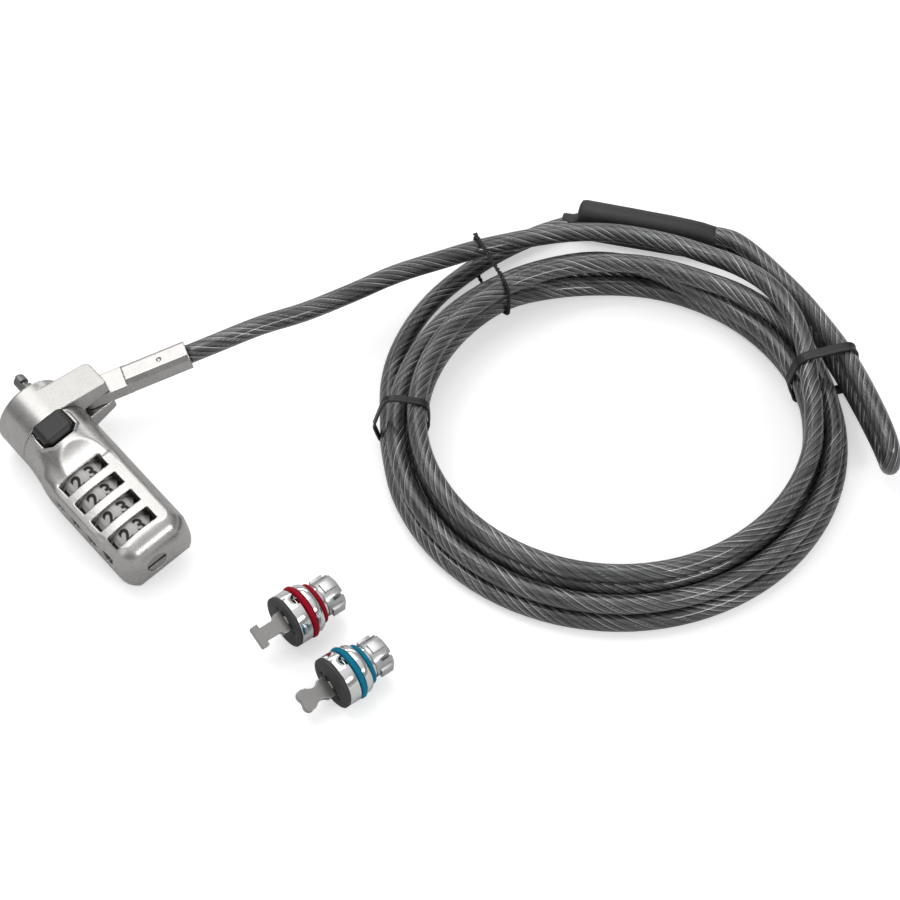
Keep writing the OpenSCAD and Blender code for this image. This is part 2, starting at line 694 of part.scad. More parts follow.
module release_button()
  color(black) in_head() {
    intersection() {
      translate([(button_low + button_top) / 2, 0, 0])
        along_height(button_top - button_low) button_plan(0);
      // Sloped sides and ends.
      along_side(40)
        polygon([[button_low - 1, button_t0 - 1], [button_low - 1, button_t0 + button_l + 1],
                 [button_top - 1.1, button_t0 + button_l + 0.01], [button_top, button_t0 + button_l - 1],
                 [button_top, button_t0 + 0.4], [button_top - 0.4, button_t0], [button_top - 0.4, button_t0 - 1]]);
      translate([0, 0, button_t0 - 1])
        linear_extrude(button_l + 3)
          polygon([[button_low - 1, button_mid - button_w], [button_top - 1.1, button_mid - button_w / 2],
                   [button_top, button_mid - button_w / 2 + 1], [button_top, button_mid + button_w / 2 - 1],
                   [button_top - 1.1, button_mid + button_w / 2], [button_low - 1, button_mid + button_w]]);
    }
    // Stem with the ramp that pushes the slider.
    translate([0, stem_mid, 0])
      along_side(stem_w)
        polygon([[button_low + 0.2, stem_t0], [-0.9 + 0.4 + 0.15, stem_t0],
                 [stem_t1 - slider_start + 0.4 + 0.15, stem_t1], [button_low + 0.2, stem_t1]]);
  }

module coil_spring(r, wire, turns, length)
  tube([for (k = [0:turns * 8]) [r * cos(45 * k), r * sin(45 * k), wire / 2 + (length - wire) * k / (turns * 8)]],
       wire / 2, 6, [0, 0, 1]);

module button_spring()
  color(steel) in_head()
    translate([spring_seat_v, spring_u, spring_t])
      rotate([0, 90, 0])
        coil_spring(0.9, 0.3, 4, button_low - spring_seat_v);

module latch_spring()
  color(steel) in_head() at_dials()
    translate([0, 0, slider_end])
      coil_spring(spindle_r + 0.75, 0.45, 4, retainer_start - slider_end);

module reset_screw()
  color(steel) in_head() at_dials() difference() {
    union() {
      drum(flange_r, pocket_end + 0.25, pocket_end + 0.25 + flange_t);
      drum(screw_r, pocket_end + 1, body_end - 0.25);
    }
    drum(spindle_r + run_gap, pocket_end - 1, pocket_end + 0.9 + travel + free_gap, fine_fn);
    translate([-0.5, -screw_r - 1, body_end - 1.15]) cube([1, 2 * screw_r + 2, 3]);
  }

// ---- Cable ----

// A tube through the points of a path, closed by flat ends.
module tube(p, r, sides, side_ref = [0, 0, 1]) {
  n = len(p);
  points = [for (i = [0:n - 1]) each ring_at(p, i, r, sides, side_ref)];
  walls = [for (i = [0:n - 2]) for (k = [0:sides - 1])
    let (a = i * sides + k, b = i * sides + (k + 1) % sides) each [[a, a + sides, b], [b, a + sides, b + sides]]];
  last = (n - 1) * sides;
  ends = [for (k = [1:sides - 2]) each [[0, k, k + 1], [last, last + k + 1, last + k]]];
  polyhedron(points = points, faces = concat(walls, ends), convexity = 10);
}

module cable_lead() color(smoke) tube(lead_path, cable_r, cable_sides);
module cable_coil() color(smoke) tube(coil_path, cable_r, 6);
module cable_tail() color(smoke) tube(tail_path, cable_r, cable_sides);
eye_ref = [sin(-105), -cos(-105), 0];
module cable_eye() color(smoke) tube(eye_path, cable_r, cable_sides, cross(eye_ref, [0, 0, 1]));

module eye_sleeve() {
  turn = atan2(sleeve_way[1], sleeve_way[0]);
  color(black)
    translate(lifted(sleeve_a))
      rotate([0, 0, turn])
        rotate([90, 0, 90])
          linear_extrude(sleeve_len) {
            for (s = [-1, 1])
              translate([0, sleeve_mid + s * sleeve_half_h]) circle(d = sleeve_w, $fn = fine_fn);
            translate([-sleeve_w / 2, sleeve_mid - sleeve_half_h]) square([sleeve_w, 2 * sleeve_half_h]);
          }
}

// Ties lie tightly round the strands that cross their plane, which stands at an azimuth of the coil.
tie_reach = 20;
tie_mid = coil_r + 9;
// A strand in a tie's plane: [outwards, height over the floor, its slant outwards and upwards].
function crossings(az, skew) =
  let (o = lifted(polar(az, tie_mid, 0)), e = [cos(az + skew), sin(az + skew), 0],
       n = [-sin(az + skew), cos(az + skew), 0])
  [for (p = [lead_path, coil_path, tail_path, eye_path]) for (i = [0:len(p) - 2])
    let (a = (p[i] - o) * n, b = (p[i + 1] - o) * n)
    if (a * b <= 0 && a != b)
      let (c = p[i] + (p[i + 1] - p[i]) * a / (a - b) - o, t = unit(p[i + 1] - p[i]))
      if (abs(c * e) < tie_reach && norm(c) < 2 * tie_reach) [c * e, c[2], (t * e) / abs(t * n), t[2] / abs(t * n)]];
// How far the strands reach in a direction of the plane, over the tie's whole width.
function strands_reach(strands, angle, w) =
  let (m = [cos(angle), sin(angle)])
  max([for (s = strands) let (slant = m * [s[2], s[3]])
    m * [s[0], s[1]] + w / 2 * abs(slant) + cable_r * sqrt(1 + slant * slant)]);
function tie_outline(strands, w, grow) =
  let (n = 24, d = 360 / n,
       h = [for (k = [0:n - 1]) strands_reach(strands, d * k, w) + grow + 0.22 + 0.12 * min(sin(d * k), 0)])
  [for (k = [0:n - 1]) let (a = d * k, b = d * (k + 1), p = h[k], q = h[(k + 1) % n])
    [p * sin(b) - q * sin(a), q * cos(a) - p * cos(b)] / sin(d)];
// Slack is given as further places the tie has to go round.
module tie(az, skew, w, slack = []) {
  strands = concat(crossings(az, skew), slack);
  translate(lifted(polar(az, tie_mid, 0)))
    rotate([0, 0, az + skew])
      along_side(w)
        difference() {
          polygon(tie_outline(strands, w, tie_t));
          polygon(tie_outline(strands, w, 0));
        }
}
module twist_tie() color(black) tie(-6, -10, 1.1);
module band_left() color(black) tie(50, 0, band_left_w, [[-2.2, coil_top + 1, 0, 0], [0.1, 2 * cable_r + 2, 0, 0]]);
module band_right() color(black) tie(-110.6, -3.5, band_right_w);

// ---- Slot adapters ----

// The adapter's frame: its washer's front face at the origin, the bar leaving along +Z.
module in_adapter(x, y)
  translate([x, y, floor_z + ring_d / 2])
    rotate([-90, 0, 0])
      rotate([0, 0, -bar_tilt])
        children();

front_z = -washer_t - front_sleeve_l;
ring_z = front_z - ring_w;
rear_z = ring_z - rear_sleeve_l;
small_ring_w = 1.4;
neck_z = rear_z - small_ring_w - 0.8;
socket_z = neck_z - socket_l;
spigot_r = ring_d / 2 - 1.4;
neck_r = 4.4;
socket_r = 4.6;
journal_r = 1.5;
flange_journal_r = 2.3;
red_x = -92.5;
red_y = -10.1;
blue_x = -114.4;
blue_y = -8.3;

module cross_hole()
  rotate([0, 0, bar_tilt])
    translate([0, -spigot_r + 1.5, front_z + 0.1])
      rotate([90, 0, 0])
        cylinder(d = 3.2, h = 6, $fn = fine_fn);

module bar_journal(side)
  translate([0, side * bar_shift, 0]) {
    translate([0, 0, front_z + 0.2]) cylinder(r = journal_r, h = -front_z - 0.1, $fn = fine_fn);
    translate([0, 0, front_z - 0.4]) cylinder(r = flange_journal_r, h = 1.6, $fn = fine_fn);
  }

// Square-headed bar.
module red_bar()
  color(steel) in_adapter(red_x, red_y) {
    bar_journal(-1);
    translate([0, -bar_shift, 0])
      translate([0, bar_t / 2, 0]) rotate([90, 0, 0]) linear_extrude(bar_t) {
        polygon([[-2.75, face_gap], [2.75, face_gap], [2.75, 2.4], [1.8, 3.2], [1.8, bar_len - 2],
                 [bar_head / 2, bar_len - 2], [bar_head / 2, bar_len - 0.3], [bar_head / 2 - 0.3, bar_len],
                 [0.3 - bar_head / 2, bar_len], [-bar_head / 2, bar_len - 0.3], [-bar_head / 2, bar_len - 2],
                 [-1.8, bar_len - 2], [-1.8, 3.2], [-2.75, 2.4]]);
      }
  }

// Waisted bar with two round lobes.
module blue_bar() {
  lobe_r = 1.6;
  lobe_x = bar_head / 2 - lobe_r;
  color(steel) in_adapter(blue_x, blue_y) {
    bar_journal(1);
    translate([0, bar_shift, 0])
      translate([0, bar_t / 2, 0]) rotate([90, 0, 0]) linear_extrude(bar_t) {
        difference() {
          polygon([[-2.75, face_gap], [2.75, face_gap], [2.75, bar_len - lobe_r], [-2.75, bar_len - lobe_r]]);
          for (s = [-1, 1])
            translate([s * 4.9, 4.6]) circle(3.1, $fn = fine_fn);
        }
        for (s = [-1, 1])
          translate([s * lobe_x, bar_len - lobe_r]) circle(lobe_r, $fn = fine_fn);
        translate([-lobe_x, bar_len - 2 * lobe_r]) square([2 * lobe_x, 2 * lobe_r - 0.35]);
      }
  }
}

module adapter_washer(side)
  difference() {
    translate([0, 0, -washer_t]) cylinder(d = sleeve_d, h = washer_t, $fn = round_fn);
    translate([0, side * bar_shift, -washer_t - 1])
      cylinder(r = journal_r + 0.2, h = washer_t + 2, $fn = fine_fn);
    for (s = [-1, 1])
      translate([s * 3.7 - 0.5, side * bar_shift - 0.5, -washer_t - 1]) cube([1, 1, washer_t + 2]);
  }

module adapter_front_sleeve(side)
  difference() {
    rotate_extrude($fn = 96)
      polygon([[0, front_z], [sleeve_d / 2 - 0.3, front_z], [sleeve_d / 2, front_z + 0.3],
               [sleeve_d / 2, -washer_t - 0.3], [sleeve_d / 2 - 0.3, -washer_t], [0, -washer_t]]);
    translate([0, side * bar_shift, front_z - 1])
      cylinder(r = journal_r + run_gap, h = front_sleeve_l + 3, $fn = fine_fn);
    translate([0, side * bar_shift, front_z - 1])
      cylinder(r = flange_journal_r + run_gap, h = 1 + 1.3, $fn = fine_fn);
    cross_hole();
  }

module adapter_rear_sleeve(side)
  difference() {
    rotate_extrude($fn = 96)
      polygon([[0, neck_z], [neck_r, neck_z], [neck_r, rear_z], [5.2, rear_z], [6.2, rear_z + 0.4],
               [6.6, rear_z + 1.3], [6.6, ring_z], [spigot_r, ring_z], [spigot_r, front_z], [0, front_z]]);
    translate([0, side * bar_shift, front_z - 0.5])
      cylinder(r = flange_journal_r + run_gap, h = 3, $fn = fine_fn);
    translate([0, 0, neck_z - 1]) cylinder(r = pin_r + face_gap, h = 1 + 4.6, $fn = fine_fn);
    cross_hole();
  }

module adapter_large_ring()
  translate([0, 0, ring_z])
    rotate_extrude($fn = 96)
      panel([spigot_r, 0], [ring_d / 2, ring_w], 0, 0.7, 0.7, 0);

module adapter_small_ring()
  translate([0, 0, rear_z - small_ring_w])
    rotate_extrude($fn = round_fn)
      panel([neck_r, 0], [small_ring_d / 2, small_ring_w], 0, 0.5, 0.5, 0);

module adapter_socket()
  difference() {
    union() {
      translate([0, 0, socket_z]) cylinder(r = socket_r, h = socket_l, $fn = round_fn);
      for (a = [0:90:270])
        rotate([0, 0, a + 20])
          block([socket_r - 0.4, -1.4, socket_z + 0.6], [socket_r + 0.6, 1.4, neck_z - 0.8]);
    }
    translate([0, 0, socket_z - 1]) cylinder(r = pin_r + face_gap, h = socket_l + 2, $fn = fine_fn);
    for (a = [0:90:270])
      rotate([0, 0, a + 65])
        block([socket_r - 1.6, -0.5, socket_z - 1], [socket_r + 1.4, 0.5, neck_z - 2]);
  }

swivel_collar();
hinge_pin();
end_fitting();
lock_body();
swivel_core();
rear_cap();
locking_pin();
pin_wedge();
latch_slider();
spindle();
dial_retainer();
dial_ring(0);  // dial_ring_1
dial_ring(1);  // dial_ring_2
dial_ring(2);  // dial_ring_3
dial_ring(3);  // dial_ring_4
code_hub(0);  // code_hub_1
code_hub(1);  // code_hub_2
code_hub(2);  // code_hub_3
code_hub(3);  // code_hub_4
dial_spacer(0);  // dial_spacer_1
dial_spacer(1);  // dial_spacer_2
dial_spacer(2);  // dial_spacer_3
detent_spring();
release_button();
button_spring();
latch_spring();
reset_screw();
cable_lead();
cable_coil();
cable_tail();
eye_sleeve();
cable_eye();
twist_tie();
band_left();
band_right();
red_bar();
color(black) in_adapter(red_x, red_y) adapter_washer(-1);  // red_washer
color(chrome) in_adapter(red_x, red_y) adapter_front_sleeve(-1);  // red_front_sleeve
color(chrome) in_adapter(red_x, red_y) adapter_rear_sleeve(-1);  // red_rear_sleeve
color(red) in_adapter(red_x, red_y) adapter_large_ring();  // red_large_ring
color(red) in_adapter(red_x, red_y) adapter_small_ring();  // red_small_ring
color(steel) in_adapter(red_x, red_y) adapter_socket();  // red_socket
blue_bar();
color(black) in_adapter(blue_x, blue_y) adapter_washer(1);  // blue_washer
color(chrome) in_adapter(blue_x, blue_y) adapter_front_sleeve(1);  // blue_front_sleeve
color(chrome) in_adapter(blue_x, blue_y) adapter_rear_sleeve(1);  // blue_rear_sleeve
color(blue) in_adapter(blue_x, blue_y) adapter_large_ring();  // blue_large_ring
color(blue) in_adapter(blue_x, blue_y) adapter_small_ring();  // blue_small_ring
color(steel) in_adapter(blue_x, blue_y) adapter_socket();  // blue_socket
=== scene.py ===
"""Laptop cable lock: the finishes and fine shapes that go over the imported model.
Lengths are worked out in millimetres and turned into metres where a mesh or an object is made.
The head has its own frame: v is the height, u points to the side windows, and t runs from the
collar's rear face towards the dial end."""
import math
import random

import bmesh
import bpy
import numpy as np
from mathutils import Matrix, Vector
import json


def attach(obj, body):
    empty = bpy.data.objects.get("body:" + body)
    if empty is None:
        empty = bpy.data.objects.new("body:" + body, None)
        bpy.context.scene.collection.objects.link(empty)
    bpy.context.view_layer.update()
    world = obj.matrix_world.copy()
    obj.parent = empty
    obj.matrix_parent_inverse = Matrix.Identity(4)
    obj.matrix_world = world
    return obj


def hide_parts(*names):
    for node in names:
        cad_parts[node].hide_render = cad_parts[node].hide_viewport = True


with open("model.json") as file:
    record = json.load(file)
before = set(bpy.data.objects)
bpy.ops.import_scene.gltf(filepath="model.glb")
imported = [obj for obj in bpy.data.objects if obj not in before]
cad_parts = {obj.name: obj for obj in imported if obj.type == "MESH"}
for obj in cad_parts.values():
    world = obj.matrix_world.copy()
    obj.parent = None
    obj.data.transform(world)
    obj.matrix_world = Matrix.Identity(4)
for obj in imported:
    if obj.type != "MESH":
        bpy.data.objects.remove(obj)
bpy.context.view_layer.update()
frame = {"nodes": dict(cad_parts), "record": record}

MM = 0.001
WHITE = (1.0, 1.0, 1.0, 1.0)
scene = bpy.context.scene
scene.view_settings.view_transform = "Standard"


# ---- Camera ----

BACK = Vector((-0.484, 0.381, 0.788)).normalized()
RIGHT = Vector((-0.618, -0.786, 0.0)).normalized()
UP = BACK.cross(RIGHT)
LOOK_AT = Vector((-74.1, -77.0, -8.0))
LENS, SENSOR, NEAREST = 156, 36, 50


def make_camera():
    lens = bpy.data.cameras.new("camera")
    lens.lens, lens.sensor_width, lens.clip_start = LENS, SENSOR, NEAREST * MM
    eye = bpy.data.objects.new("camera", lens)
    scene.collection.objects.link(eye)
    place = LOOK_AT * MM + BACK
    turn = Matrix((RIGHT, UP, BACK)).transposed().to_4x4()
    eye.matrix_world = Matrix.Translation(place) @ turn
    scene.camera = eye


make_camera()


# ---- Materials ----

class Wire:
    """A value that varies over a surface. Its operators put in the Math nodes."""

    def __init__(self, finish, socket):
        self.finish, self.socket = finish, socket

    def math(self, operation, *values):
        return self.finish.add("ShaderNodeMath", {"operation": operation}, dict(enumerate(values)))

    def __add__(self, other):
        return self.math("ADD", self, other)

    def __radd__(self, other):
        return self.math("ADD", other, self)

    def __sub__(self, other):
        return self.math("SUBTRACT", self, other)

    def __rsub__(self, other):
        return self.math("SUBTRACT", other, self)

    def __mul__(self, other):
        return self.math("MULTIPLY", self, other)

    def __abs__(self):
        return self.math("ABSOLUTE", self)

    def fract(self):
        return self.math("FRACT", self)

    def sin(self):
        return self.math("SINE", self)

    def cos(self):
        return self.math("COSINE", self)

    def least(self, other):
        return self.math("MINIMUM", self, other)

    def most(self, other):
        return self.math("MAXIMUM", self, other)

    def over(self, low, high):
        """0 below low, 1 above high, and a smooth step between."""
        smooth = {"interpolation_type": "SMOOTHSTEP"}
        return self.finish.add("ShaderNodeMapRange", smooth, {0: self, 1: low, 2: high, 3: 0.0, 4: 1.0})

    def mix(self, low, high):
        """The colour low where this is 0, and high where it is 1."""
        return self.finish.add("ShaderNodeMix", {"data_type": "RGBA"}, {0: self, 6: low, 7: high}, out=2)


class Finish:
    """A material being built round one Principled shader."""

    def __init__(self, name, **sockets):
        self.material = bpy.data.materials.new(name)
        self.material.use_nodes = True
        self.tree = self.material.node_tree
        self.tree.nodes.clear()
        self.shader = self.tree.nodes.new("ShaderNodeBsdfPrincipled")
        self.output = self.tree.nodes.new("ShaderNodeOutputMaterial")
        self.tree.links.new(self.shader.outputs[0], self.output.inputs[0])
        self.set(**sockets)

    def add(self, kind, settings=None, sockets=None, out=0):
        node = self.tree.nodes.new(kind)
        for key, value in (settings or {}).items():
            setattr(node, key, value)
        self.fill(node, sockets or {})
        return Wire(self, node.outputs[out])

    def fill(self, node, sockets):
        for key, value in sockets.items():
            if isinstance(value, Wire):
                self.tree.links.new(value.socket, node.inputs[key])
            else:
                node.inputs[key].default_value = value

    def set(self, **sockets):
        """Sets or links sockets of the shader, with _ for the spaces in their names."""
        self.fill(self.shader, {key.replace("_", " "): value for key, value in sockets.items()})
        return self

    def place(self):
        return self.add("ShaderNodeTexCoord", out=3)

    def parts_of(self, vector):
        node = self.tree.nodes.new("ShaderNodeSeparateXYZ")
        self.tree.links.new(vector.socket, node.inputs[0])
        return [Wire(self, socket) for socket in node.outputs]

    def point(self, x, y, z):
        return self.add("ShaderNodeCombineXYZ", None, {0: x, 1: y, 2: z})

    def noise(self, grain_mm, detail=2.0, vector=None, rough=0.5):
        """Noise whose grains are about so many millimetres across."""
        scale = 1 / (grain_mm * MM)
        return self.add("ShaderNodeTexNoise", None, {
            "Vector": vector or self.place(), "Scale": scale, "Detail": detail, "Roughness": rough})

    def bump(self, height, strength, depth_mm):
        return self.set(Normal=self.add(
            "ShaderNodeBump", None, {"Height": height, "Strength": strength, "Distance": depth_mm * MM}))


def grey(value, tint=0.0):
    return (value * (1 - tint), value, value * (1 + tint), 1.0)


def metal(name, value, rough, grain_mm=0.3, grain=0.2, tint=0.01, spread=0.08, cloud=0.06):
    """A metal with a fine grain, slow clouds in its gloss and slight changes of tone."""
    made = Finish(name, Metallic=1.0)
    fine = made.noise(grain_mm, 3.0)
    slow = made.noise(4.0, 2.0)
    made.set(Base_Color=(slow * 0.4 + fine * 0.6).mix(grey(value - cloud, tint), grey(value + cloud, tint)),
             Roughness=rough + (fine - 0.5) * spread + (slow - 0.5) * spread)
    made.bump(fine, grain, 0.02)
    return made.material


def turned(name, value, rough, axis, pitch_mm=0.12):
    """A turned metal whose tool marks run round the axis 0, 1 or 2 of the row frame."""
    made = Finish(name, Metallic=1.0)
    along = made.parts_of(made.place())[axis]
    marks = (along * (2 * math.pi / (pitch_mm * MM))).sin() * 0.5 + 0.5
    slow = made.noise(1.5, 2.0)
    made.set(Base_Color=slow.mix(grey(value * 0.85), grey(value * 1.15)),
             Roughness=rough + marks * 0.06 + slow * 0.08)
    made.bump(marks * 0.6 + made.noise(0.15), 0.25, 0.01)
    return made.material


def rubber(name, color, rough, grain_mm=0.15, strength=0.3, gloss=0.5):
    """Rubber, plastic or paint with a fine grain and slightly darker clouds."""
    made = Finish(name, Specular_IOR_Level=gloss)
    fine = made.noise(grain_mm, 3.0)
    slow = made.noise(2.0)
    dark = tuple(c * 0.75 for c in color[:3]) + (1.0,)
    made.set(Base_Color=slow.mix(dark, color), Roughness=rough + (fine - 0.5) * 0.15)
    made.bump(fine, strength, 0.02)
    return made.material


CABLE_R = 2.5
STRANDS, WIRES, LAY_LENGTH = 10, 24, 30.0
SMOKE_DARK, SMOKE_PALE = (0.008, 0.0082, 0.009, 1), (0.105, 0.107, 0.111, 1)
# A near-black painted shade for the grooves between strands, and a pale painted highlight for strand edges
# and wires.
GROOVE_PAINTED_SHADE, STRAND_PAINTED_HIGHLIGHT = (0.003, 0.003, 0.0035, 1), (0.62, 0.625, 0.635, 1)


def coated_cable():
    """Smoke-grey coating, with the twisted strands showing through it, painted lighter on their crowns,
    with painted shade in the grooves between them and painted highlights along their edges and wires.
    The map's u runs once round the cable, and v is the length in circumferences."""
    made = Finish("smoke coating over wire strands", Metallic=0.3)
    turn, along, _ = made.parts_of(made.add("ShaderNodeUVMap", {"uv_map": "lay"}))
    lay = turn - along * (2 * math.pi * CABLE_R / LAY_LENGTH)
    angle = lay * (2 * math.pi)
    ring = (angle.cos(), angle.sin())
    # The noise is taken on a cylinder of radius 1, so it has no seam, and its grains are in that radius.
    broken = made.noise(2.2 / MM, 3.0, made.point(*ring, along * 0.6), 0.6)
    fine = made.noise(0.3 / MM, 2.0, made.point(*ring, along * 0.45), 0.6)
    across = (lay * STRANDS + broken * 0.5).fract()
    crown = 1 - abs(across * 2 - 1)
    groove = 1 - crown.over(0.02, 0.3)
    wires = (turn * WIRES + along * 1.4 + broken * 0.8).fract()
    wire = (1 - abs(wires * 2 - 1)).over(0.7, 1.0)
    # Painted highlight: a thin bright line near one edge of each strand, broken in places.
    edge_painted_highlight = (1 - abs(across - 0.2) * 9).most(0.0) * broken.over(0.36, 0.58)
    # Painted shading of the rounded strands: the tone is lighter on each strand's crown and darker towards
    # its sides, with random change from the noise besides.
    tone = crown.over(0.1, 1.0) * 0.4 + fine.over(0.35, 0.7) * 0.35 + broken.over(0.3, 0.7) * 0.25
    base = tone.mix(SMOKE_DARK, SMOKE_PALE)
    # Painted shade: the grooves between the strands are darkened to near black, in broken patches.
    shaded = (groove * broken.over(0.3, 0.52)).mix(base, GROOVE_PAINTED_SHADE)
    # Painted highlights along the wires on each strand's crown; both kinds are mixed into the base colour
    # below.
    wire_painted_highlight = wire * crown.over(0.4, 0.9) * fine.over(0.48, 0.64) * 0.6
    painted_highlight = (edge_painted_highlight * fine.over(0.3, 0.55) + wire_painted_highlight).least(1.0)
    made.set(Base_Color=painted_highlight.mix(shaded, STRAND_PAINTED_HIGHLIGHT), Roughness=0.45 - painted_highlight * 0.1)
    made.set(Coat_Weight=1.0, Coat_Roughness=0.1, Coat_IOR=1.5)
    made.bump(crown.over(0.0, 0.7) + wire * 0.2, 0.5, 0.22)
    return made.material


def numeral_paint():
    made = Finish("black numeral paint")
    fine = made.noise(0.1, 2.0)
    made.set(Base_Color=fine.mix(grey(0.008), grey(0.02)), Roughness=0.55 + fine * 0.1)
    made.bump(fine, 0.2, 0.01)
    return made.material


def shrink_sleeve():
    made = Finish("black shrink sleeve")
    fine = made.noise(0.2, 3.0)
    slow = made.noise(3.0, 2.0)
    made.set(Base_Color=slow.mix(grey(0.014), grey(0.026)), Roughness=0.5 + (slow - 0.5) * 0.2)
    made.bump(fine * 0.3 + slow, 0.35, 0.1)
    return made.material


FINISHES = {
    "zinc": metal("satin plated casting", 0.47, 0.28, 0.25, grain=0.9, tint=-0.025, spread=0.1, cloud=0.15),
    "steel": turned("turned steel", 0.5, 0.24, 0),
    "dark_steel": turned("dark turned steel", 0.2, 0.34, 0),
    "spring_steel": metal("spring steel", 0.5, 0.25, 0.1),
    "brass": turned("turned brass", 0.5, 0.28, 0),
    "chrome": metal("polished chrome", 0.78, 0.13, 0.8, grain=0.06, tint=0.0, spread=0.03, cloud=0.03),
    "bar_metal": metal("satin bar metal", 0.34, 0.3, 0.2, grain=0.5, tint=-0.02, spread=0.1, cloud=0.08),
    "dial_white": rubber("satin dial coating", grey(0.6, -0.02), 0.35, 0.2, 0.2),
    "black_plastic": rubber("fine-grained black plastic", grey(0.012), 0.42, 0.18, 0.25),
    "cable": coated_cable(),
    "sleeve_black": shrink_sleeve(),
    "tie_black": rubber("black tie plastic", grey(0.011), 0.4, 0.25, 0.3),
    "wire_black": rubber("black coated wire", grey(0.008), 0.5, 0.15, 0.4),
    "washer_rubber": rubber("dark washer rubber", grey(0.035), 0.6),
    "red_rubber": rubber("crimson ring rubber", (0.36, 0.0, 0.014, 1), 0.6, gloss=0.15),
    "blue_rubber": rubber("teal ring rubber", (0.0, 0.2, 0.33, 1), 0.6, gloss=0.15),
    "numerals": numeral_paint(),
}
SLOT_OF = {part["node"]: part["material_slot"] for part in frame["record"]["subparts"]}
BODY_OF = {node: body for body, nodes in frame["record"]["behaviour"]["bodies"].items() for node in nodes}
for node, thing in frame["nodes"].items():
    thing.data.materials.clear()
    thing.data.materials.append(FINISHES[SLOT_OF[node]])


# ---- Making and placing pieces ----

def new_piece(name, mesh, body, slot, finish=None, smooth=True):
    """An object of this mesh, with its finish, riding on its body."""
    piece = bpy.data.objects.new(name, mesh)
    scene.collection.objects.link(piece)
    mesh.materials.clear()
    mesh.materials.append(FINISHES[finish or slot])
    if smooth:
        mesh.shade_smooth()
    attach(piece, body)
    return piece


def mesh_of(name, points, faces):
    """A mesh from points in millimetres."""
    mesh = bpy.data.meshes.new(name)
    mesh.from_pydata([Vector(p) * MM for p in points], [], faces)
    mesh.validate()
    return mesh


def with_modifiers(mesh, *steps):
    """The mesh after these modifiers, each (type, settings)."""
    holder = bpy.data.objects.new("holder", mesh)
    scene.collection.objects.link(holder)
    for kind, settings in steps:
        step = holder.modifiers.new(kind, kind)
        for key, value in settings.items():
            setattr(step, key, value)
    shaped = bpy.data.meshes.new_from_object(holder.evaluated_get(bpy.context.evaluated_depsgraph_get()))
    bpy.data.objects.remove(holder)
    return shaped


def cast_copy(node, name, voxel_mm, rounds, keep, finish=None, shape=None):
    """A CAD node with its edges rounded, as a casting or a moulding has them, and then shaped.
    Keep is the share of its faces that stay."""
    mesh = with_modifiers(
        frame["nodes"][node].data.copy(),
        ("REMESH", {"mode": "VOXEL", "voxel_size": voxel_mm * MM}),
        ("SMOOTH", {"factor": 0.5, "iterations": rounds}))
    if shape:
        shape(mesh)
    mesh = with_modifiers(mesh, ("DECIMATE", {"ratio": keep}))
    mesh.name = name
    piece = new_piece(name, mesh, BODY_OF[node], SLOT_OF[node], finish)
    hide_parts(node)


def eased_copy(node, name, width_mm):
    """A CAD node with a small bevel along its sharp edges."""
    shape = bmesh.new()
    shape.from_mesh(frame["nodes"][node].data)
    bmesh.ops.remove_doubles(shape, verts=shape.verts, dist=0.001 * MM)
    bmesh.ops.dissolve_limit(
        shape, angle_limit=math.radians(0.6), verts=shape.verts, edges=shape.edges)
    mesh = bpy.data.meshes.new(name)
    shape.to_mesh(mesh)
    shape.free()
    mesh = with_modifiers(mesh, ("BEVEL", {
        "width": width_mm * MM, "segments": 2, "limit_method": "ANGLE", "angle_limit": math.radians(32),
        "use_clamp_overlap": True, "harden_normals": False}))
    mesh.name = name
    piece = new_piece(name, mesh, BODY_OF[node], SLOT_OF[node])
    mesh.set_sharp_from_angle(angle=math.radians(40))
    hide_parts(node)


# ---- The cable's route, as the solids have it ----

FLOOR = -13.03205
CABLE_D = 2 * CABLE_R
TIE_T = 0.6
COIL_X, COIL_Y, COIL_START, COIL_R = -96.3, -113.1, -125, 49.8
COIL_LOW, COIL_PITCH = CABLE_R + TIE_T + 0.15, 5.45
TURN, TURN_CHANGES = 324, (0, 44, 32, 32, 32)
TURN_PLACES = ((1, 2), (6.4, 1), (0.8, 1), (2.2, 0), (7.8, 0))
PLACES = [Vector((out, layer * COIL_PITCH)) for out, layer in TURN_PLACES]
STRAND_GAP, SLEEVE_LEN = 0.6, 37.0
HEAD_ROLL = math.radians(13)
PIN_SHIFT, PIN_RISE = 2.65, 2.5
HINGE_V, HINGE_REACH, HINGE_T = -0.5, 14.0, 7.2
FITTING_LEN, FITTING_SWING = 27.3, math.radians(19)


def from_head(v, u, t):
    """A point given by its height, side and distance from the collar's rear face."""
    y, z = PIN_SHIFT + u, v - PIN_RISE
    return Vector((-t, y * math.cos(HEAD_ROLL) + z * math.sin(HEAD_ROLL),
                   z * math.cos(HEAD_ROLL) - y * math.sin(HEAD_ROLL)))


def lifted(x, y, height):
    return Vector((x, y, FLOOR + height))


def polar(azimuth, radius, height):
    turn = math.radians(azimuth)
    return lifted(COIL_X + radius * math.cos(turn), COIL_Y + radius * math.sin(turn), height)


def around(*points):
    """Points given by azimuth, distance outside the coil's radius and height over its lowest turn."""
    return [polar(azimuth, COIL_R + out, COIL_LOW + rise) for azimuth, out, rise in points]


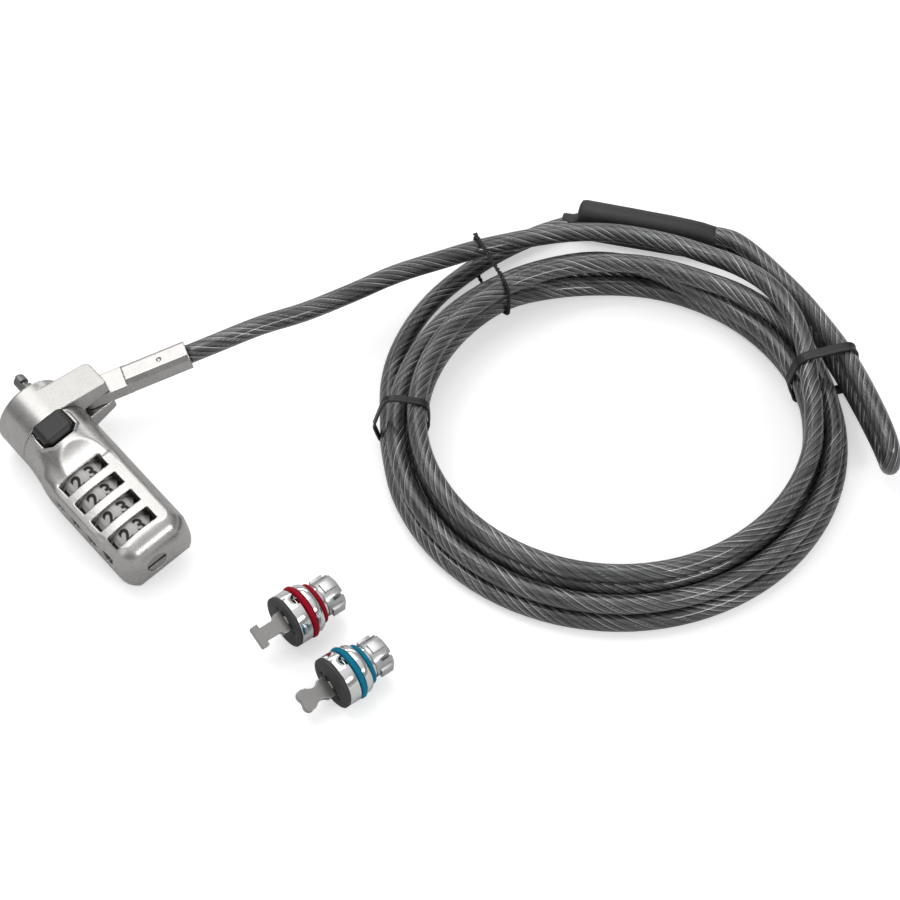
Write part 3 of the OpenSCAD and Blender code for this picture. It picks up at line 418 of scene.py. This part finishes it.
def bundle_place(s):
    """Where the cable runs in the bundle after so many degrees: distance outwards, and height."""
    k = min(math.floor(s / TURN + 0.5), 4)
    if k < 1:
        return PLACES[0]
    f = min(max((s - k * TURN) / TURN_CHANGES[k] + 0.5, 0), 1)
    f = f * f * (3 - 2 * f)
    if k > 1:
        return PLACES[k - 1].lerp(PLACES[k], f)
    a, b = PLACES[0] - PLACES[2], PLACES[1] - PLACES[2]
    angle = math.atan2(a.y, a.x) * (1 - f) + math.atan2(b.y, b.x) * f
    far = a.length * (1 - f) + b.length * f + 0.4 * math.sin(math.pi * f)
    return PLACES[2] + far * Vector((math.cos(angle), math.sin(angle)))


def coil_point(s):
    out, rise = bundle_place(s)
    return polar(COIL_START - s, COIL_R + out, COIL_LOW + rise)


def route(points, steps):
    """A smooth curve through the points."""
    line, last = [], len(points) - 1
    for i in range(last):
        a, b, c, d = (points[min(max(k, 0), last)] for k in (i - 1, i, i + 1, i + 2))
        for k in range(steps):
            f = k / steps
            line.append(0.5 * (2 * b + (c - a) * f + (2 * a - 5 * b + 4 * c - d) * f * f
                               + (3 * b - a - 3 * c + d) * f ** 3))
    return line + [points[last]]


def fitting_point(reach):
    return from_head(HINGE_V, -HINGE_REACH - reach * math.cos(FITTING_SWING),
                     HINGE_T + reach * math.sin(FITTING_SWING))


def cable_routes():
    """The main run from the fitting through the coil to the sleeve, the eye's run,
    and the sleeve's start and direction."""
    exit_point = fitting_point(FITTING_LEN)
    exit_way = (exit_point - fitting_point(0)).normalized()
    in_way = (coil_point(0) - coil_point(-1)).normalized()
    out_way = (coil_point(5 * TURN + 1) - coil_point(5 * TURN)).normalized()
    top = 2 * COIL_PITCH
    line = [exit_point, exit_point + 8 * exit_way]
    line += [lifted(*p) for p in (
        (-21.5, -56, 21), (-24.3, -68, 20.2), (-25.6, -82, 18.6), (-26.4, -96, 16.9), (-27.8, -110, 13.9),
        (-30.3, -123, 12))]
    line += around(
        (-25, 13.9, top - 1.5), (-38, 12.2, top - 0.8), (-52, 10.4, top - 0.4), (-64, 9, top + 0.7),
        (-74, 8.3, top + 2.4), (-84, 7.2, top + 3.9), (-94, 5.9, top + 3.5), (-104, 4.2, top + 1.4))
    line += [coil_point(0) - 2 * CABLE_D * in_way, coil_point(0) - CABLE_D * in_way]
    line += [coil_point(15 * k) for k in range(TURN // 3 + 1)]
    coil_out = coil_point(5 * TURN) + CABLE_D * out_way
    line += [coil_out, coil_out + CABLE_D * out_way]
    line += around(
        (34, 11, 0), (24, 13.1, 0), (14, 15, 0), (4, 16.8, 0), (-6, 18.5, 0), (-14.2, 20.4, 0),
        (-23.3, 22.7, 0))
    start = polar(-32.3, COIL_R + 23.9, COIL_LOW)
    way = (polar(-63.7, COIL_R + 21.35, COIL_LOW) - start).normalized()
    line += [start - 2 * way, start]
    end, up = start + SLEEVE_LEN * way, CABLE_D + STRAND_GAP
    high = Vector((0, 0, up))
    eye = [end, end + 2.5 * way]
    eye += around(
        (-66.5, 21.5, 0), (-71.1, 20.2, 0), (-78.1, 17.55, 0), (-90, 15, 0), (-101, 14, 0.2),
        (-111, 14, 0.9), (-120, 15, 2), (-127.5, 16.8, 3.1), (-132.6, 18.6, 3.9), (-136.2, 20, 4.7),
        (-138.8, 20.9, 6.1), (-139.9, 21.1, 9.2), (-138.8, 20.6, 12.3), (-136.2, 19.2, 13.8),
        (-131.5, 17, 14.3), (-124.5, 14.6, 14), (-116.5, 13.1, 12.9), (-108, 12.6, 11.3), (-99, 12.9, 9.6),
        (-89, 14.7, 7.7), (-78.1, 17.5, up + 0.7), (-71.1, 20.1, up + 0.1), (-66.5, 21.5, up))
    eye += [end + 2.5 * way + high, end + high]
    return route(line, 4), route(eye, 4), start, way


MAIN_RUN, EYE_RUN, SLEEVE_START, SLEEVE_WAY = cable_routes()


def frames_along(line):
    """For each point, its direction and two directions across it, carried along without twist."""
    ways = [(line[min(i + 1, len(line) - 1)] - line[max(i - 1, 0)]).normalized() for i in range(len(line))]
    side = Vector((0, 0, 1)).cross(ways[0])
    side = (side if side.length > 0.1 else Vector((1, 0, 0)).cross(ways[0])).normalized()
    found = []
    for way in ways:
        side = (side - way * side.dot(way)).normalized()
        found.append((way, side, way.cross(side)))
    return found


def tube_mesh(name, line, radius, sides):
    """A tube with flat ends and a map that runs round it and along it."""
    points, faces, marks = [], [], []
    done = 0.0
    for i, (point, (_, side, rise)) in enumerate(zip(line, frames_along(line))):
        done += (point - line[i - 1]).length if i else 0.0
        marks.append(done / (2 * math.pi * radius))
        for k in range(sides):
            turn = 2 * math.pi * k / sides
            points.append(point + radius * (math.cos(turn) * side + math.sin(turn) * rise))
    for i in range(len(line) - 1):
        for k in range(sides):
            a, b = i * sides + k, i * sides + (k + 1) % sides
            faces.append((a, b, b + sides, a + sides))
    last = (len(line) - 1) * sides
    faces += [tuple(range(sides))[::-1], tuple(range(last, last + sides))]
    mesh = mesh_of(name, points, faces)
    chart = mesh.uv_layers.new(name="lay")
    for face in mesh.polygons:
        ring = [mesh.loops[j].vertex_index % sides for j in face.loop_indices]
        wraps = max(ring) == sides - 1 and min(ring) == 0 and len(ring) == 4
        for j, k in zip(face.loop_indices, ring):
            u = 1.0 if wraps and k == 0 else k / sides
            chart.data[j].uv = (u, marks[mesh.loops[j].vertex_index // sides])
    return mesh


def length_of(line):
    return sum((b - a).length for a, b in zip(line, line[1:]))


def make_cable(name, line, *nodes):
    piece = new_piece(name, tube_mesh(name, line, CABLE_R, 20), "cable", "cable")
    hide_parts(*nodes)
    line[0] * MM
    round(length_of(line) * MM, 3)
    [p * MM for p in line]


make_cable("coated_cable", MAIN_RUN, "cable_lead", "cable_coil", "cable_tail")
make_cable("eye_loop", EYE_RUN, "cable_eye")


# ---- Ties and sleeve ----

def loft(name, rings, closed=False):
    """A surface through rings of equally many points, closed in a loop or by flat ends."""
    sides, count = len(rings[0]), len(rings)
    faces = []
    for i in range(count if closed else count - 1):
        for k in range(sides):
            a, b = i * sides, (i + 1) % count * sides
            faces.append((a + k, a + (k + 1) % sides, b + (k + 1) % sides, b + k))
    if not closed:
        last = (count - 1) * sides
        faces += [tuple(range(sides))[::-1], tuple(range(last, last + sides))]
    return mesh_of(name, [p for ring in rings for p in ring], faces)


TIE_MID, TIE_CORNERS = COIL_R + 9, 96
NEAR_TIE, TIE_HALF_SPAN, TIE_EASE, TIE_TIGHTER_BELOW = 40, 20, 0.12, 0.08


def tie_plane(azimuth, skew):
    """A tie's plane: its origin on the floor, outwards, and across."""
    turn = math.radians(azimuth + skew)
    return polar(azimuth, TIE_MID, 0), Vector((math.cos(turn), math.sin(turn), 0)), Vector(
        (-math.sin(turn), math.cos(turn), 0))


def tie_outline(plane, width, slack=()):
    """How far the strands reach in each direction of a tie's plane.
    Slack lists places where the tie stands off: outwards, height, and the strand's two slopes there."""
    origin, out, across = plane
    strands = list(slack)
    for line in (MAIN_RUN, EYE_RUN):
        for p, q in zip(line, line[1:]):
            a, b = (p - origin).dot(across), (q - origin).dot(across)
            if a * b <= 0 and a != b:
                c, way = p + (q - p) * (a / (a - b)) - origin, (q - p).normalized()
                if c.length < NEAR_TIE and abs(c.dot(out)) < TIE_HALF_SPAN:
                    lean = abs(way.dot(across))
                    strands.append((c.dot(out), c.z, way.dot(out) / lean, way.z / lean))
    reach = []
    for k in range(TIE_CORNERS):
        turn = 2 * math.pi * k / TIE_CORNERS
        x, z = math.cos(turn), math.sin(turn)
        widest = max(
            x * s[0] + z * s[1] + width / 2 * abs(x * s[2] + z * s[3])
            + CABLE_R * math.sqrt(1 + (x * s[2] + z * s[3]) ** 2) for s in strands)
        reach.append(widest + TIE_EASE + TIE_TIGHTER_BELOW * min(z, 0))
    return reach


def tie_point(plane, reach, k, grow, aside):
    """Corner k of the outline, moved out and sideways."""
    origin, out, across = plane
    a, b = 2 * math.pi * k / TIE_CORNERS, 2 * math.pi * (k + 1) / TIE_CORNERS
    p, q = reach[k % TIE_CORNERS] + grow, reach[(k + 1) % TIE_CORNERS] + grow
    x = (p * math.sin(b) - q * math.sin(a)) / math.sin(b - a)
    z = (q * math.cos(a) - p * math.cos(b)) / math.sin(b - a)
    return origin + out * x + Vector((0, 0, z)) + across * aside


def make_band(node, name, azimuth, skew, width, slack=()):
    """A strap with raised edges, closed round the strands."""
    plane = tie_plane(azimuth, skew)
    reach = tie_outline(plane, width, slack)
    w, t = width / 2, TIE_T
    profile = (
        (0, 0.18 - w), (0, w - 0.18), (0.1, w), (t - 0.16, w), (t, w - 0.12), (t, w - 0.34),
        (t - 0.12, w - 0.48), (t - 0.12, 0.48 - w), (t, 0.34 - w), (t, 0.12 - w), (t - 0.16, -w), (0.1, -w))
    rings = [[tie_point(plane, reach, k, *place) for place in profile] for k in range(TIE_CORNERS)]
    piece = new_piece(name, loft(name, rings, closed=True), "cable", "tie_black")
    piece.data.set_sharp_from_angle(angle=math.radians(50))
    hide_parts(node)


def make_bands():
    left_slack = [(-2.2, COIL_LOW + 2 * COIL_PITCH + 1, 0, 0), (0.1, CABLE_D + 2, 0, 0)]
    make_band("band_left", "left_band", azimuth=50, skew=0, width=2.1, slack=left_slack)
    make_band("band_right", "right_band", azimuth=-110.6, skew=-3.5, width=2.8)


WIRE_R, WIRE_APART, WIRE_OFF, WIRE_STEP, WIRE_TWIST = 0.3, 0.3, 0.5, 0.35, 0.8
WIRE_CLOSED_AT, WIRE_LOOP_R, WIRE_LOOP_SPREAD = 14, 0.6, 0.12


def wire_rings(line, radius, sides):
    """A ring of points round each point of the line."""
    return [[p + radius * (math.cos(2 * math.pi * k / sides) * a + math.sin(2 * math.pi * k / sides) * b)
             for k in range(sides)] for p, (_, a, b) in zip(line, frames_along(line))]


def make_twist_tie():
    """Two thin wires twisted together round the strands, with a small loop where they were closed."""
    chance = random.Random(5)
    plane = tie_plane(-6, -10)
    reach = tie_outline(plane, 0.8)
    corners = [tie_point(plane, reach, k + WIRE_CLOSED_AT, WIRE_OFF, 0.0) for k in range(TIE_CORNERS)]
    line = [corners[0]]
    for p in corners[1:] + corners[:1]:
        steps = max(1, round((p - line[-1]).length / WIRE_STEP))
        base = line[-1]
        line += [base.lerp(p, (k + 1) / steps) for k in range(steps)]
    strands, twist = ([], []), 0.0
    for p, (_, a, b) in zip(line, frames_along(line)):
        twist += WIRE_TWIST + chance.uniform(-0.25, 0.25)
        far = WIRE_APART + chance.uniform(-0.03, 0.05)
        for half, strand in enumerate(strands):
            turn = twist + math.pi * half
            strand.append(p + far * (math.cos(turn) * a + math.sin(turn) * b))
            strand[-1].z = max(strand[-1].z, FLOOR + WIRE_R + 0.02)
    top, (_, out, across) = line[0], plane
    for half in (0, 1):
        side = 1 if half else -1
        loop = [top + out * WIRE_LOOP_R * (1 - math.cos(t)) + Vector((0, 0, WIRE_LOOP_R * math.sin(t)))
                + across * side * WIRE_LOOP_SPREAD * t for t in [0.45 * k for k in range(8)]]
        strands[half][:0] = loop[::-1]
    points, faces = [], []
    for strand in strands:
        mesh = loft("wire", wire_rings(route(strand[::2] + strand[-1:], 2), WIRE_R, 6))
        base = len(points)
        points += [v.co / MM for v in mesh.vertices]
        faces += [tuple(base + k for k in face.vertices) for face in mesh.polygons]
        bpy.data.meshes.remove(mesh)
    name = "twisted_wire_tie"
    piece = new_piece(name, mesh_of(name, points, faces), "cable", "tie_black", "wire_black")
    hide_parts("twist_tie")


# The distance along the sleeve, its radius, and how far it spans the upper strand, from 0 to 1.
SLEEVE_SHAPE = (
    (-4.6, 2.56, 0), (-4.4, 2.75, 0), (-2, 2.85, 0), (-0.7, 3.0, 0.1), (-0.1, 3.3, 0.75),
    (0.5, 3.5, 0.95), (1.6, 3.55, 1), (12, 3.5, 1), (24, 3.4, 1), (30, 3.3, 0.98),
    (33.5, 3.2, 0.94), (35.5, 3.05, 0.9), (37, 2.95, 0.88), (37.3, 2.75, 0.88))


def make_sleeve():
    """The sleeve over both strands: a narrow neck on one cable, a shoulder, and a tapering far end."""
    side, sides = SLEEVE_WAY.cross(Vector((0, 0, 1))), 32
    rings = []
    for along, radius, high in SLEEVE_SHAPE:
        ring = []
        for k in range(sides):
            turn = 2 * math.pi * (k + 0.5) / sides
            lift = (CABLE_D + STRAND_GAP) * high if math.sin(turn) > 0 else 0.0
            ring.append(SLEEVE_START + SLEEVE_WAY * along + side * radius * math.cos(turn)
                        + Vector((0, 0, max(radius * math.sin(turn), 0.02 - COIL_LOW) + lift)))
        rings.append(ring)
    piece = new_piece("shrink_sleeve", loft("shrink_sleeve", rings), "cable", "sleeve_black")
    piece.data.set_sharp_from_angle(angle=math.radians(50))
    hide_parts("eye_sleeve")


make_bands()
make_twist_tie()
make_sleeve()


# ---- Castings and small metal parts ----

def places_of(mesh):
    """The mesh's points in millimetres, a row for each."""
    flat = np.empty(len(mesh.vertices) * 3)
    mesh.vertices.foreach_get("co", flat)
    return flat.reshape(-1, 3) / MM


def put_places(mesh, places):
    mesh.vertices.foreach_set("co", (places * MM).ravel())
    mesh.update()


def ramp(values, low, high):
    """0 below low, 1 above high, and a smooth step between."""
    f = np.clip((values - low) / (high - low), 0, 1)
    return f * f * (3 - 2 * f)


def to_head(places):
    """World points as height, side and distance from the collar's rear face."""
    x, y, z = places.T
    across, up = math.cos(HEAD_ROLL), math.sin(HEAD_ROLL)
    return np.stack([y * up + z * across + PIN_RISE, y * across - z * up - PIN_SHIFT, -x], axis=1)


def out_of_head(places):
    v, u, t = places.T
    across, up = math.cos(HEAD_ROLL), math.sin(HEAD_ROLL)
    y, z = PIN_SHIFT + u, v - PIN_RISE
    return np.stack([-t, y * across + z * up, z * across - y * up], axis=1)


def soften(mesh, places, weight, rounds):
    """Moves each point towards the middle of its neighbours, as far as its weight says."""
    pairs = np.empty(len(mesh.edges) * 2, dtype=np.int64)
    mesh.edges.foreach_get("vertices", pairs)
    a, b = pairs.reshape(-1, 2).T
    near = (weight[a] > 0) | (weight[b] > 0)
    a, b = a[near], b[near]
    count = np.maximum(np.bincount(a, minlength=len(places)) + np.bincount(b, minlength=len(places)), 1)
    for _ in range(rounds):
        total = [np.bincount(a, places[b, k], len(places)) + np.bincount(b, places[a, k], len(places))
                 for k in range(3)]
        middle = np.stack(total, axis=1) / count[:, None]
        places = places + (middle - places) * weight[:, None]
    return places


HOUSING_LOW, HOUSING_HIGH = np.array((-10.0, -10.0, 0.0)), np.array((7.9, 11.6, 59.3))
SIDE_RADIUS, END_RADIUS = 4.6, 6.0
# Where each form of the housing starts and ends: along t, and for the side and the plain flank along u.
WAIST_START, WAIST_END, WAIST_SIDE = (12.6, 13.6), (27.2, 28.2), (5.2, 7.2)
DISH_START, DISH_END, DISH_LONG_END, DISH_FLANK = (19.4, 20.6), (26.8, 28.0), (26.8, 30), (4.5, 5.5)
FILLET_START, FILLET_GROWS = (45, 51), (44, 53)
WAIST_ROUNDS, DISH_ROUNDS, DISH_LONGER = 280, 24, 4
BUTTON_U, BUTTON_T, BUTTON_HALF_W, BUTTON_HALF_L, BUTTON_CUT = 0.25, 15.35, 4.55, 3.6, 1.7
RIM_HEIGHT, RIM_OFF, RIM_WIDTH = 0.4, 0.85, 0.32


def raise_rim(head):
    """Lifts a thin rim round the three outer sides of the button."""
    v, u, t = head.T
    du, dt = abs(u - BUTTON_U) - BUTTON_HALF_W, abs(t - BUTTON_T) - BUTTON_HALF_L
    far = np.maximum(np.maximum(du, dt), (du + dt + BUTTON_CUT) / math.sqrt(2))
    lift = RIM_HEIGHT * np.exp(-((far - RIM_OFF) / RIM_WIDTH) ** 2) * (v > 5) * ramp(t, 12.5, 14)
    out = 1 + lift / np.maximum(np.hypot(v, u), 1)
    return np.stack([v * out, u * out, t], axis=1)


def shape_housing(mesh):
    """Melts the start of the flat face into the neck, and rounds the end like a pebble."""
    head = to_head(places_of(mesh))
    _, u, t = head.T
    waist = ramp(t, *WAIST_START) * (1 - ramp(t, *WAIST_END)) * ramp(u, *WAIST_SIDE)
    head = soften(mesh, head, 0.6 * waist, WAIST_ROUNDS)
    # The dish ends at the first window, and farther on along the flank that has no windows.
    long_end = ramp(t - DISH_LONGER * ramp(-u, *DISH_FLANK), *DISH_LONG_END)
    dish = ramp(t, *DISH_START) * (1 - np.minimum(ramp(t, *DISH_END), long_end))
    head = soften(mesh, head, 0.5 * dish, DISH_ROUNDS)
    head = raise_rim(head)
    radius = (SIDE_RADIUS + (END_RADIUS - SIDE_RADIUS) * ramp(head[:, 2], *FILLET_GROWS))[:, None]
    core = np.minimum(np.maximum(head, HOUSING_LOW + radius), HOUSING_HIGH - radius)
    core[:, 2] = np.minimum(head[:, 2], HOUSING_HIGH[2] - radius[:, 0])
    away = head - core
    far = np.maximum(np.linalg.norm(away, axis=1, keepdims=True), 1e-6)
    fillet = ramp(head[:, 2], *FILLET_START)[:, None]
    head = np.where(far > radius, head + (core + away * radius / far - head) * fillet, head)
    put_places(mesh, out_of_head(head))


BLOCK_FACE = 3.15
DIMPLE_Y, DIMPLE_INNER, DIMPLE_OUTER, DIMPLE_DEPTH = -19.8, 0.3, 0.75, 0.5


def shape_fitting(mesh):
    """Makes the crimp's dimple small and round."""
    head = to_head(places_of(mesh))
    du, dt = head[:, 1] + HINGE_REACH, head[:, 2] - HINGE_T
    swing, rise = math.cos(FITTING_SWING), math.sin(FITTING_SWING)
    y, z, h = du * swing - dt * rise, du * rise + dt * swing, head[:, 0] - HINGE_V
    far = np.hypot(y - DIMPLE_Y, z)
    near = (far < 2.0) & (h > BLOCK_FACE - 1.5)
    pressed = DIMPLE_DEPTH * (1 - ramp(far, DIMPLE_INNER, DIMPLE_OUTER))
    head[:, 0] = np.where(near, HINGE_V + BLOCK_FACE - pressed, head[:, 0])
    put_places(mesh, out_of_head(head))


ADAPTER_Z = FLOOR + 7.3
ADAPTERS = {"red": (-92.5, -10.1), "blue": (-114.4, -8.3)}
RING_MID = {"large_ring": -5.2, "small_ring": -9.3}
RING_SLIM, RING_SHRINK, BAR_SHORTEN = 0.8, 0.985, 0.9


def shape_ring(colour, part):
    """Makes an adapter's rubber ring slimmer."""
    x0, y0 = ADAPTERS[colour]

    def shape(mesh):
        places = places_of(mesh)
        middle = y0 + RING_MID[part]
        places[:, 1] = middle + (places[:, 1] - middle) * RING_SLIM
        for k, origin in ((0, x0), (2, ADAPTER_Z)):
            places[:, k] = origin + (places[:, k] - origin) * RING_SHRINK
        put_places(mesh, places)
    return shape


def shape_bar(colour):
    """Shortens the part of an adapter's bar that stands out of the washer."""
    y0 = ADAPTERS[colour][1]

    def shape(mesh):
        places = places_of(mesh)
        places[:, 1] = np.where(places[:, 1] > y0, y0 + (places[:, 1] - y0) * BAR_SHORTEN, places[:, 1])
        put_places(mesh, places)
    return shape


# After the names: the voxel, the rounds of smoothing and the share of faces that stay, or the bevel.
cast_copy("lock_body", "housing_casting", 0.2, 5, 0.4, shape=shape_housing)
cast_copy("swivel_collar", "collar_casting", 0.2, 6, 0.4)
cast_copy("end_fitting", "cable_fitting", 0.12, 6, 0.5, shape=shape_fitting)
cast_copy("release_button", "button_cap", 0.15, 34, 0.5)
cast_copy("locking_pin", "pin_with_groove", 0.08, 26, 0.5)
cast_copy("pin_wedge", "pin_wedge_strip", 0.08, 3, 0.5)
cast_copy("reset_screw", "slotted_reset_screw", 0.08, 6, 0.4, "bar_metal")
for ring in range(1, 5):
    eased_copy("dial_ring_%d" % ring, "numbered_ring_%d" % ring, 0.12)
for colour in ADAPTERS:
    for part in ("washer", "front_sleeve", "rear_sleeve", "socket"):
        eased_copy("%s_%s" % (colour, part), "%s_adapter_%s" % (colour, part), 0.1)
    cast_copy(colour + "_bar", colour + "_adapter_bar", 0.1, 3, 0.5, "bar_metal", shape_bar(colour))
    for part in RING_MID:
        node = "%s_%s" % (colour, part)
        cast_copy(node, "%s_rubber_%s" % (colour, part), 0.12, 3, 0.5, shape=shape_ring(colour, part))


# ---- Dial numerals ----

DIAL_V, DIAL_U, DIAL_FIRST, DIAL_PITCH, DIAL_FLAT = -0.3, 2.5, 30.4, 7.0, 6.95
DIAL_STEP, DIAL_FRONT = 36, 2.5
NUMERAL_HEIGHT, NUMERAL_STRETCH, NUMERAL_THICK = 4.1, 1.03, 0.04
# A numeral's height as a share of the type size, and the added boldness as a share of its height.
TYPE_SHARE, BOLD_SHARE = 0.73, 0.042


def numeral_shape(digit):
    """One numeral as points and faces, its middle at the origin."""
    words = bpy.data.curves.new("numeral", "FONT")
    words.body, words.size, words.resolution_u = str(digit), NUMERAL_HEIGHT / TYPE_SHARE, 4
    words.extrude, words.offset = NUMERAL_THICK, BOLD_SHARE * NUMERAL_HEIGHT
    mesh = with_modifiers(words)
    across = [v.co.x for v in mesh.vertices]
    rise = [v.co.y for v in mesh.vertices]
    middle = Vector(((min(across) + max(across)) / 2, (min(rise) + max(rise)) / 2, 0))
    wide = Vector((NUMERAL_STRETCH, 1, 1))
    return [(v.co - middle) * wide for v in mesh.vertices], [tuple(p.vertices) for p in mesh.polygons]


def make_numerals():
    """Ten numerals round each ring, DIAL_STEP degrees apart."""
    shapes = [numeral_shape(digit) for digit in range(10)]
    for ring in range(4):
        points, faces = [], []
        for digit, (outline, fills) in enumerate(shapes):
            turn = math.radians((digit - DIAL_FRONT) * DIAL_STEP)
            base = len(points)
            for p in outline:
                out = DIAL_FLAT + p.z
                v = DIAL_V + out * math.cos(turn) - p.x * math.sin(turn)
                u = DIAL_U - out * math.sin(turn) - p.x * math.cos(turn)
                points.append(from_head(v, u, DIAL_FIRST + ring * DIAL_PITCH - p.y))
            faces += [tuple(base + k for k in fill) for fill in fills]
        mesh = mesh_of("numerals_%d" % (ring + 1), points, faces)
        new_piece(mesh.name, mesh, "dial_%d" % (ring + 1), "dial_white", "numerals", smooth=False)


make_numerals()


# ---- Floor and light ----

FLOOR_HALF = 3000.0
FLOOR_GREY, FLOOR_MIRRORED, FLOOR_GLOW = 0.82, 0.7, 0.46


def make_floor():
    """A pale floor that takes shadows. It is darker in reflections, and glows a little to the camera."""
    far = FLOOR_HALF
    corners = [(x, y, FLOOR - 0.05) for x, y in ((-far, -far), (far, -far), (far, far), (-far, far))]
    floor = bpy.data.objects.new("floor", mesh_of("floor", corners, [(0, 1, 2, 3)]))
    scene.collection.objects.link(floor)
    pale = bpy.data.materials.new("pale floor")
    pale.use_nodes = True
    tree = pale.node_tree
    tree.nodes.clear()
    diffuse = tree.nodes.new("ShaderNodeBsdfDiffuse")
    diffuse.inputs["Color"].default_value = grey(FLOOR_GREY)
    mirrored = tree.nodes.new("ShaderNodeBsdfDiffuse")
    mirrored.inputs["Color"].default_value = grey(FLOOR_MIRRORED)
    either = tree.nodes.new("ShaderNodeMixShader")
    glow = tree.nodes.new("ShaderNodeEmission")
    path = tree.nodes.new("ShaderNodeLightPath")
    lift = tree.nodes.new("ShaderNodeMath")
    lift.operation = "MULTIPLY"
    lift.inputs[1].default_value = FLOOR_GLOW
    both = tree.nodes.new("ShaderNodeAddShader")
    out = tree.nodes.new("ShaderNodeOutputMaterial")
    tree.links.new(path.outputs["Is Camera Ray"], lift.inputs[0])
    tree.links.new(lift.outputs[0], glow.inputs["Strength"])
    tree.links.new(path.outputs["Is Glossy Ray"], either.inputs[0])
    tree.links.new(diffuse.outputs[0], either.inputs[1])
    tree.links.new(mirrored.outputs[0], either.inputs[2])
    tree.links.new(either.outputs[0], both.inputs[0])
    tree.links.new(glow.outputs[0], both.inputs[1])
    tree.links.new(both.outputs[0], out.inputs[0])
    floor.data.materials.append(pale)


WORLD_SOFT = 0.45
# What the metals mirror: the grey at each height, from the horizon at 0 to straight up at 1.
STUDIO_GREYS = ((0.0, 0.85), (0.1, 0.75), (0.24, 0.3), (0.45, 0.25), (0.62, 0.5), (0.8, 0.75), (1.0, 0.9))


def make_world():
    """White to the camera, a studio with pale and dark bands to the metals, and soft light to all else."""
    world = bpy.data.worlds.new("studio")
    scene.world = world
    world.use_nodes = True
    tree = world.node_tree
    tree.nodes.clear()
    path = tree.nodes.new("ShaderNodeLightPath")
    seen = tree.nodes.new("ShaderNodeMath")
    seen.operation, seen.use_clamp = "ADD", True
    tree.links.new(path.outputs["Is Camera Ray"], seen.inputs[0])
    tree.links.new(path.outputs["Is Transmission Ray"], seen.inputs[1])
    place = tree.nodes.new("ShaderNodeTexCoord")
    split = tree.nodes.new("ShaderNodeSeparateXYZ")
    tree.links.new(place.outputs["Generated"], split.inputs[0])
    bands = tree.nodes.new("ShaderNodeValToRGB")
    stops = bands.color_ramp.elements
    (stops[0].position, lowest), (stops[1].position, highest) = STUDIO_GREYS[0], STUDIO_GREYS[-1]
    stops[0].color, stops[1].color = grey(lowest), grey(highest)
    for position, value in STUDIO_GREYS[1:-1]:
        stops.new(position).color = grey(value)
    tree.links.new(split.outputs["Z"], bands.inputs[0])
    soft = tree.nodes.new("ShaderNodeBackground")
    soft.inputs["Color"].default_value, soft.inputs["Strength"].default_value = WHITE, WORLD_SOFT
    shown = tree.nodes.new("ShaderNodeBackground")
    shown.inputs["Color"].default_value = WHITE
    studio = tree.nodes.new("ShaderNodeBackground")
    tree.links.new(bands.outputs["Color"], studio.inputs["Color"])
    mixed = tree.nodes.new("ShaderNodeMixShader")
    tree.links.new(path.outputs["Is Glossy Ray"], mixed.inputs[0])
    tree.links.new(soft.outputs[0], mixed.inputs[1])
    tree.links.new(studio.outputs[0], mixed.inputs[2])
    last = tree.nodes.new("ShaderNodeMixShader")
    tree.links.new(seen.outputs[0], last.inputs[0])
    tree.links.new(mixed.outputs[0], last.inputs[1])
    tree.links.new(shown.outputs[0], last.inputs[2])
    out = tree.nodes.new("ShaderNodeOutputWorld")
    tree.links.new(last.outputs[0], out.inputs[0])


def make_lamp(name, place_mm, aim_mm, size_mm, watts):
    """A rectangular lamp at one place, facing another."""
    light = bpy.data.lights.new(name, "AREA")
    light.shape, light.energy = "RECTANGLE", watts
    light.size, light.size_y = size_mm[0] * MM, size_mm[1] * MM
    lamp = bpy.data.objects.new(name, light)
    scene.collection.objects.link(lamp)
    place, aim = Vector(place_mm) * MM, Vector(aim_mm) * MM
    lamp.location = place
    lamp.rotation_euler = (place - aim).to_track_quat("Z", "Y").to_euler()


make_floor()
make_world()
make_lamp("top_softbox", (330, -60, 1000), (-75, -80, 0), (900, 1000), 4.0)
make_lamp("left_softbox", (-40, 700, 450), (-60, -60, 0), (500, 500), 0.6)
make_lamp("back_strip", (600, -450, 350), (-60, -80, 0), (800, 200), 1.0)
make_lamp("key_panel", (160, 110, 600), (-75, -80, 0), (130, 130), 0.2)
make_lamp("end_strip", (-800, -150, 500), (-60, -60, 0), (420, 130), 1.7)

import json
